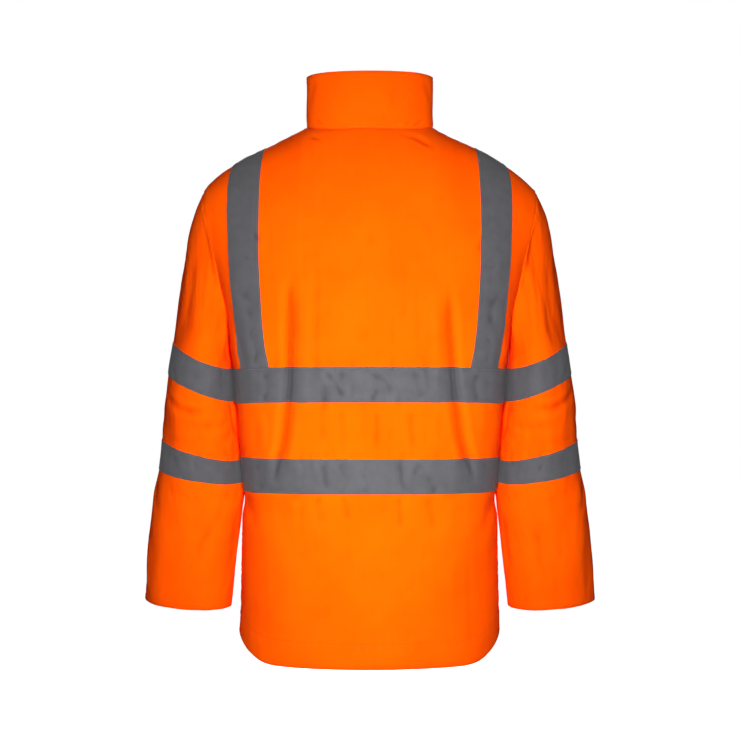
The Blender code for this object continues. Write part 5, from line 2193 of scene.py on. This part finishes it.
@dataclass(frozen=True)
class Zip:
    """The front zip: tape wings inside the fronts, rows of teeth, a slider and its pull tab."""

    bench: Bench
    torso: Torso
    collar: Collar
    tooth: ToothShape = ToothShape()
    wing_places: tuple[float, ...] = (0.0012, 0.0024, 0.0035, 0.0065, 0.0095, 0.0125, 0.0155)
    wing_drop: float = 0.0009  # from the middle of the fronts' cloth to the middle of the wings
    wing_shell: Shell = Shell(0.0006, 0.0001, 0.0)
    first_tooth: float = 0.006
    clear_ends: float = 0.01  # how much of the chain's length has no teeth

    def edge(self) -> tuple[Array, Array]:
        """The fronts' edge from the hem to the collar's top.

        Returns:
            The wings' points by row and place across, and their ways out.
        """
        form = self.torso.form
        widths = np.array(self.wing_places)
        beyond = np.maximum(widths - form.zip_edge, 0)
        column = beyond / (form.sections[0].brace_inner - form.zip_edge)
        cloth = self.torso.cloths[Face.FRONT]
        front = cloth.grid(column + np.arange(len(column)) * HAIR, self.torso.rows)
        collar = self.collar.form.surface(1 - np.linspace(0, 1, 60) * 0.1, np.linspace(0, 1, 28)[1:])
        length = lengths_along(collar[0])
        above = np.stack([read_line(beyond, length, row) for row in collar])
        low = int((widths < form.zip_edge).sum())
        points, outs = front.points.copy(), front.out
        points[:, :low, 0] = above[:, :low, 0] = widths[:low]
        ways = ways_out(above, False, -1.0)
        outs[:, :low], ways[:, :low] = outs[:, [low]], ways[:, [low]]
        return np.concatenate([points, above]), np.concatenate([outs, -ways * np.sign(ways[..., 1:2])])

    def build(self) -> None:
        """Makes the wings, the teeth, the slider and the pull tab."""
        points, outs = self.edge()
        for side in Side:
            grid = Grid((points - outs * self.wing_drop) * (side.value, 1, 1), False, side.value)
            wing = self.wing_shell.mesh(f"zip_wing_{side.label}", grid, self.bench.cloth.finish)
            self.bench.keep(wing, "zip_cloth")
            self.bench.sheet(wing, grid, "hung", [f"front_{side.label}_cloth"], [])
        middle = points[:, 0] * (0, 1, 1)
        self.bench.keep(self.teeth(middle, unit(outs[:, 0] * (0, 1, 1))), "zip_metal", "zip_chain")
        self.slider()
        self.pull_tab()

    def teeth(self, line: Array, ways: Array) -> Piece:
        """Makes the two rows of teeth that hold each other, as one piece.

        Args:
            line: The middle line of the front.
            ways: The way out along it.

        Returns:
            The piece.
        """
        tooth = self.tooth
        length = lengths_along(line)
        half = tooth.pitch / 2
        count = int((length[-1] - self.clear_ends) / half)
        at = self.first_tooth + np.arange(count) * half
        place, out = read_line(at, length, line), unit(read_line(at, length, ways))
        aside = np.array([1.0, 0, 0])
        along = unit(np.cross(out, aside))
        sign = np.where(np.arange(count) % 2 == 0, 1.0, -1.0)[:, None]
        vertices = []
        for height, grow in tooth.levels:
            raised = place + out * (height * tooth.height - tooth.sunk)
            for across, up in tooth.outline:
                shift = (across - tooth.root) * grow + tooth.root
                moved = aside * sign * shift * tooth.width + along * up * grow * tooth.length
                vertices.append(raised + moved)
        each = np.stack(vertices, 1)
        faces = tooth.faces()[None] + np.arange(count)[:, None, None] * each.shape[1]
        chosen = np.where(sign[..., None] > 0, faces, faces[..., ::-1])
        return mesh_piece("zip_teeth", each.reshape(-1, 3), chosen.reshape(-1, 4), self.bench.metal)

    @staticmethod
    def cast(
        name: str, outline: Loop, span: Pair, bevel: float, axis: int, holes: Sequence[Loop] = ()
    ) -> Piece:
        """A flat casting with rounded edges.

        Args:
            name: The piece's name.
            outline: Its outline in the plane across the axis, in order.
            span: Where it starts and ends along the axis.
            bevel: The radius of its edges.
            axis: 0 for X, 1 for Y.
            holes: The outlines of holes through it.

        Returns:
            The piece.
        """
        low, high = span
        shape = bmesh.new()
        every = []
        for loop in (outline, *holes):
            places = [(low, *pair) if axis == 0 else (pair[0], low, pair[1]) for pair in loop]
            bottom = [shape.verts.new(place) for place in places]
            every += [shape.edges.new(pair) for pair in zip(bottom, bottom[1:] + bottom[:1])]
        made = bmesh.ops.triangle_fill(shape, use_beauty=True, use_dissolve=True, edges=every)
        faces = [item for item in made["geom"] if isinstance(item, bmesh.types.BMFace)]
        grown = bmesh.ops.extrude_face_region(shape, geom=faces)
        moved = [item for item in grown["geom"] if isinstance(item, bmesh.types.BMVert)]
        step = Vector((high - low, 0, 0)) if axis == 0 else Vector((0, high - low, 0))
        bmesh.ops.translate(shape, verts=moved, vec=step)
        bmesh.ops.recalc_face_normals(shape, faces=shape.faces)
        bend = np.radians(SHARP_DEGREES)
        sharp = [e for e in shape.edges if len(e.link_faces) == 2 and e.calc_face_angle(0) > bend]
        bmesh.ops.bevel(
            shape, geom=sharp, offset=bevel, segments=2, profile=0.6, affect="EDGES", clamp_overlap=True
        )
        data = bpy.data.meshes.new(name)
        shape.to_mesh(data)
        shape.free()
        return link_piece(name, data)

    @staticmethod
    def arc(centre: Pair, radius: float, first: float, last: float, steps: int) -> Loop:
        """Points of an arc round a centre, between two angles in degrees."""
        angles = np.radians(np.linspace(first, last, steps + 1))
        return [(centre[0] + radius * np.cos(a), centre[1] + radius * np.sin(a)) for a in angles]

    def slider(self) -> None:
        """Makes the slider: a shield-shaped plate with side lips, and the bridge over it."""
        low, high = (np.array(corner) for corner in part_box("zip_slider"))
        x, _, z = (low + high) / 2
        half_width, _, half_length = (high - low) / 2
        size = SliderShape()
        neck = half_width * size.neck_share
        foot, lip, top = size.foot_radius, size.lip_radius, size.top_radius
        lip_z = z + half_length * size.lip_share
        outline = [
            *self.arc((x - neck + foot, z - half_length + foot), foot, 180, 270, 4),
            *self.arc((x + neck - foot, z - half_length + foot), foot, 270, 360, 4),
            *self.arc((x + half_width - lip, lip_z), lip, -30, 40, 5),
            *self.arc((x + neck - top, z + half_length - top), top, 30, 90, 4),
            *self.arc((x - neck + top, z + half_length - top), top, 90, 150, 4),
            *self.arc((x - half_width + lip, lip_z), lip, 140, 210, 5),
        ]
        front = high[1] - size.thickness
        plate = self.cast("zip_slider_plate", outline, (front, high[1]), size.bevel, 1)
        outer, inner = [], []
        foot_y, reach, wall = front + size.bridge_sunk, front - low[1], size.bridge_wall
        for along, above in self.arc((0, 0), 1.0, 0, 180, 14):
            rise = above**size.bridge_power
            outer.append((foot_y - reach * rise, z + size.bridge_half * along))
            inner.append((foot_y - (reach - wall) * rise, z + (size.bridge_half - wall) * along))
        sides = (x - size.bridge_half_width, x + size.bridge_half_width)
        bridge = self.cast("zip_slider_bridge", outer + inner[::-1], sides, size.bridge_bevel, 0)
        for piece in (plate, bridge):
            piece.data.materials.append(self.bench.metal)
        self.bench.keep(plate, "zip_metal", "zip_slider")
        self.bench.keep(bridge, "zip_metal")

    def pull_tab(self) -> None:
        """Makes the pull tab: a blade with a grip hole and ribs, on a pin between two arms."""
        x, y, z = frame["record"]["behaviour"]["joints"][0]["pos_m"]
        size = TabShape()
        neck = z - size.window + size.overlap
        foot = (x, z - size.length + size.tip)
        grip = (x, foot[1] + size.hole_length)
        tip = self.arc(foot, size.tip, 180, 360, 18)
        outline = [(x - size.half_width, neck), *tip, (x + size.half_width, neck)]
        hole = self.arc(foot, size.hole_radius, 180, 360, 12) + self.arc(grip, size.hole_radius, 0, 180, 12)
        sides = (y - size.half_thickness, y + size.half_thickness)
        pieces = [self.cast("zip_pull_tab_blade", outline, sides, size.bevel, 1, [hole])]
        end = z - size.window
        pin = size.pin_radius
        for name, low, high in (("left", *size.arm), ("right", -size.arm[1], -size.arm[0])):
            side = [*self.arc((y, z), pin, 180, 0, 8), (y + pin, end), (y - pin, end)]
            pieces.append(self.cast(f"zip_pull_tab_arm_{name}", side, (x + low, x + high), size.arm_bevel, 0))
        rod = self.arc((y, z), pin, 0, 360, 16)[:-1]
        ends = (x - size.pin_half_length, x + size.pin_half_length)
        pieces.append(self.cast("zip_pull_tab_pin", rod, ends, size.pin_bevel, 0))
        ends = (x - size.rib_half_length, x + size.rib_half_length)
        for k in range(size.ribs):
            centre = (y - size.half_thickness, z - size.first_rib - k * size.rib_pitch)
            rib = self.arc(centre, size.rib_radius, 90, 270, 6)
            pieces.append(self.cast(f"zip_pull_tab_rib_{k + 1}", rib, ends, size.rib_bevel, 0))
        for piece in pieces:
            piece.data.materials.append(self.bench.metal)
            self.bench.keep(piece, "zip_metal", body="pull_tab")
        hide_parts("zip_pull_tab")


# ---------------------------------------------------------------- the studio


@dataclass(frozen=True)
class SoftLight:
    """A soft box."""

    name: str
    place: Triple
    aim: Triple
    size: Pair
    power: float
    spread: float = 180.0

    def build(self) -> None:
        """Hangs the light."""
        data = bpy.data.lights.new(self.name, "AREA")
        data.spread = np.radians(self.spread)
        data.shape, data.size, data.size_y, data.energy = "RECTANGLE", *self.size, self.power
        light = bpy.data.objects.new(self.name, data)
        light.location = self.place
        light.rotation_euler = (Vector(self.aim) - Vector(self.place)).to_track_quat("-Z", "Y").to_euler()
        light.visible_camera = False
        bpy.context.scene.collection.objects.link(light)


@dataclass(frozen=True)
class Studio:
    """The floor, the lights and the camera."""

    floor_z: float = -1.3
    floor_radius: float = 14.0
    floor_sides: int = 96
    backdrop_strength: float = 1.0
    ambient_strength: float = 0.055
    camera_place: Triple = (-0.0004, 2.74, -0.3454)
    lens: float = 91.0
    lights: tuple[SoftLight, ...] = (
        SoftLight("key", (0.0, 1.2, -0.31), (0.0, 0.0, -0.36), (0.2, 0.95), 6.0, 76.0),
        SoftLight("low", (0.0, 0.95, -0.5), (0.0, 0.0, -0.57), (0.14, 0.24), 0.26, 55.0),
        SoftLight("front", (0.0, -3.2, 0.2), (0.0, 0.0, -0.4), (1.6, 1.6), 150.0),
        SoftLight("left side", (3.4, 0.0, 0.1), (0.0, 0.0, -0.4), (1.4, 1.4), 6.5),
        SoftLight("right side", (-3.4, 0.0, 0.1), (0.0, 0.0, -0.4), (1.4, 1.4), 6.5),
    )

    def build(self) -> None:
        """Sets up the studio."""
        scene = bpy.context.scene
        scene.view_settings.view_transform = "Standard"
        scene.world = self.world()
        self.floor()
        for light in self.lights:
            light.build()
        data = bpy.data.cameras.new("camera")
        data.lens, data.sensor_width = self.lens, 36.0
        camera = bpy.data.objects.new("camera", data)
        camera.location = self.camera_place
        camera.rotation_euler = (np.pi / 2, 0.0, np.pi)
        scene.collection.objects.link(camera)
        scene.camera = camera

    def world(self) -> bpy.types.World:
        """A white backdrop all round that lights the jacket only dimly."""
        world = bpy.data.worlds.new("studio")
        world.use_nodes = True
        nodes, links = world.node_tree.nodes, world.node_tree.links
        light = nodes.new("ShaderNodeLightPath")
        strength = nodes.new("ShaderNodeMapRange")
        strength.inputs["To Min"].default_value = self.ambient_strength
        strength.inputs["To Max"].default_value = self.backdrop_strength
        links.new(light.outputs["Is Camera Ray"], strength.inputs["Value"])
        links.new(strength.outputs[0], nodes["Background"].inputs["Strength"])
        nodes["Background"].inputs["Color"].default_value = (1.0, 1.0, 1.0, 1.0)
        return world

    def floor(self) -> None:
        """Lays the pale floor."""
        finish = StageFinish("studio white", (0.86, 0.86, 0.86, 1.0), self.backdrop_strength).material()
        turns = np.linspace(0, 2 * np.pi, self.floor_sides, endpoint=False)
        ring = np.stack([np.cos(turns), np.sin(turns), np.zeros_like(turns)], -1) * self.floor_radius
        points = np.concatenate([[[0, 0, 0]], ring]) + np.array([0, 0, self.floor_z])
        i = np.arange(self.floor_sides)
        faces = np.stack([np.zeros_like(i), i + 1, (i + 1) % self.floor_sides + 1], -1)
        floor = mesh_piece("studio_floor", points, faces, finish)
        floor.visible_diffuse = floor.visible_glossy = False


def main() -> None:
    """Builds the studio and the jacket, piece by piece."""
    logging.basicConfig(level=logging.INFO, format="%(message)s")
    Studio().build()
    body = BodyForm()
    bench = Bench()
    torso, collar = Torso(bench, body), Collar(bench, CollarForm(body))
    for part in (torso, Sleeves(bench, SleeveForm(body)), collar, Zip(bench, torso, collar)):
        part.build()
    bpy.context.view_layer.update()


if __name__ == "__main__":
    main()
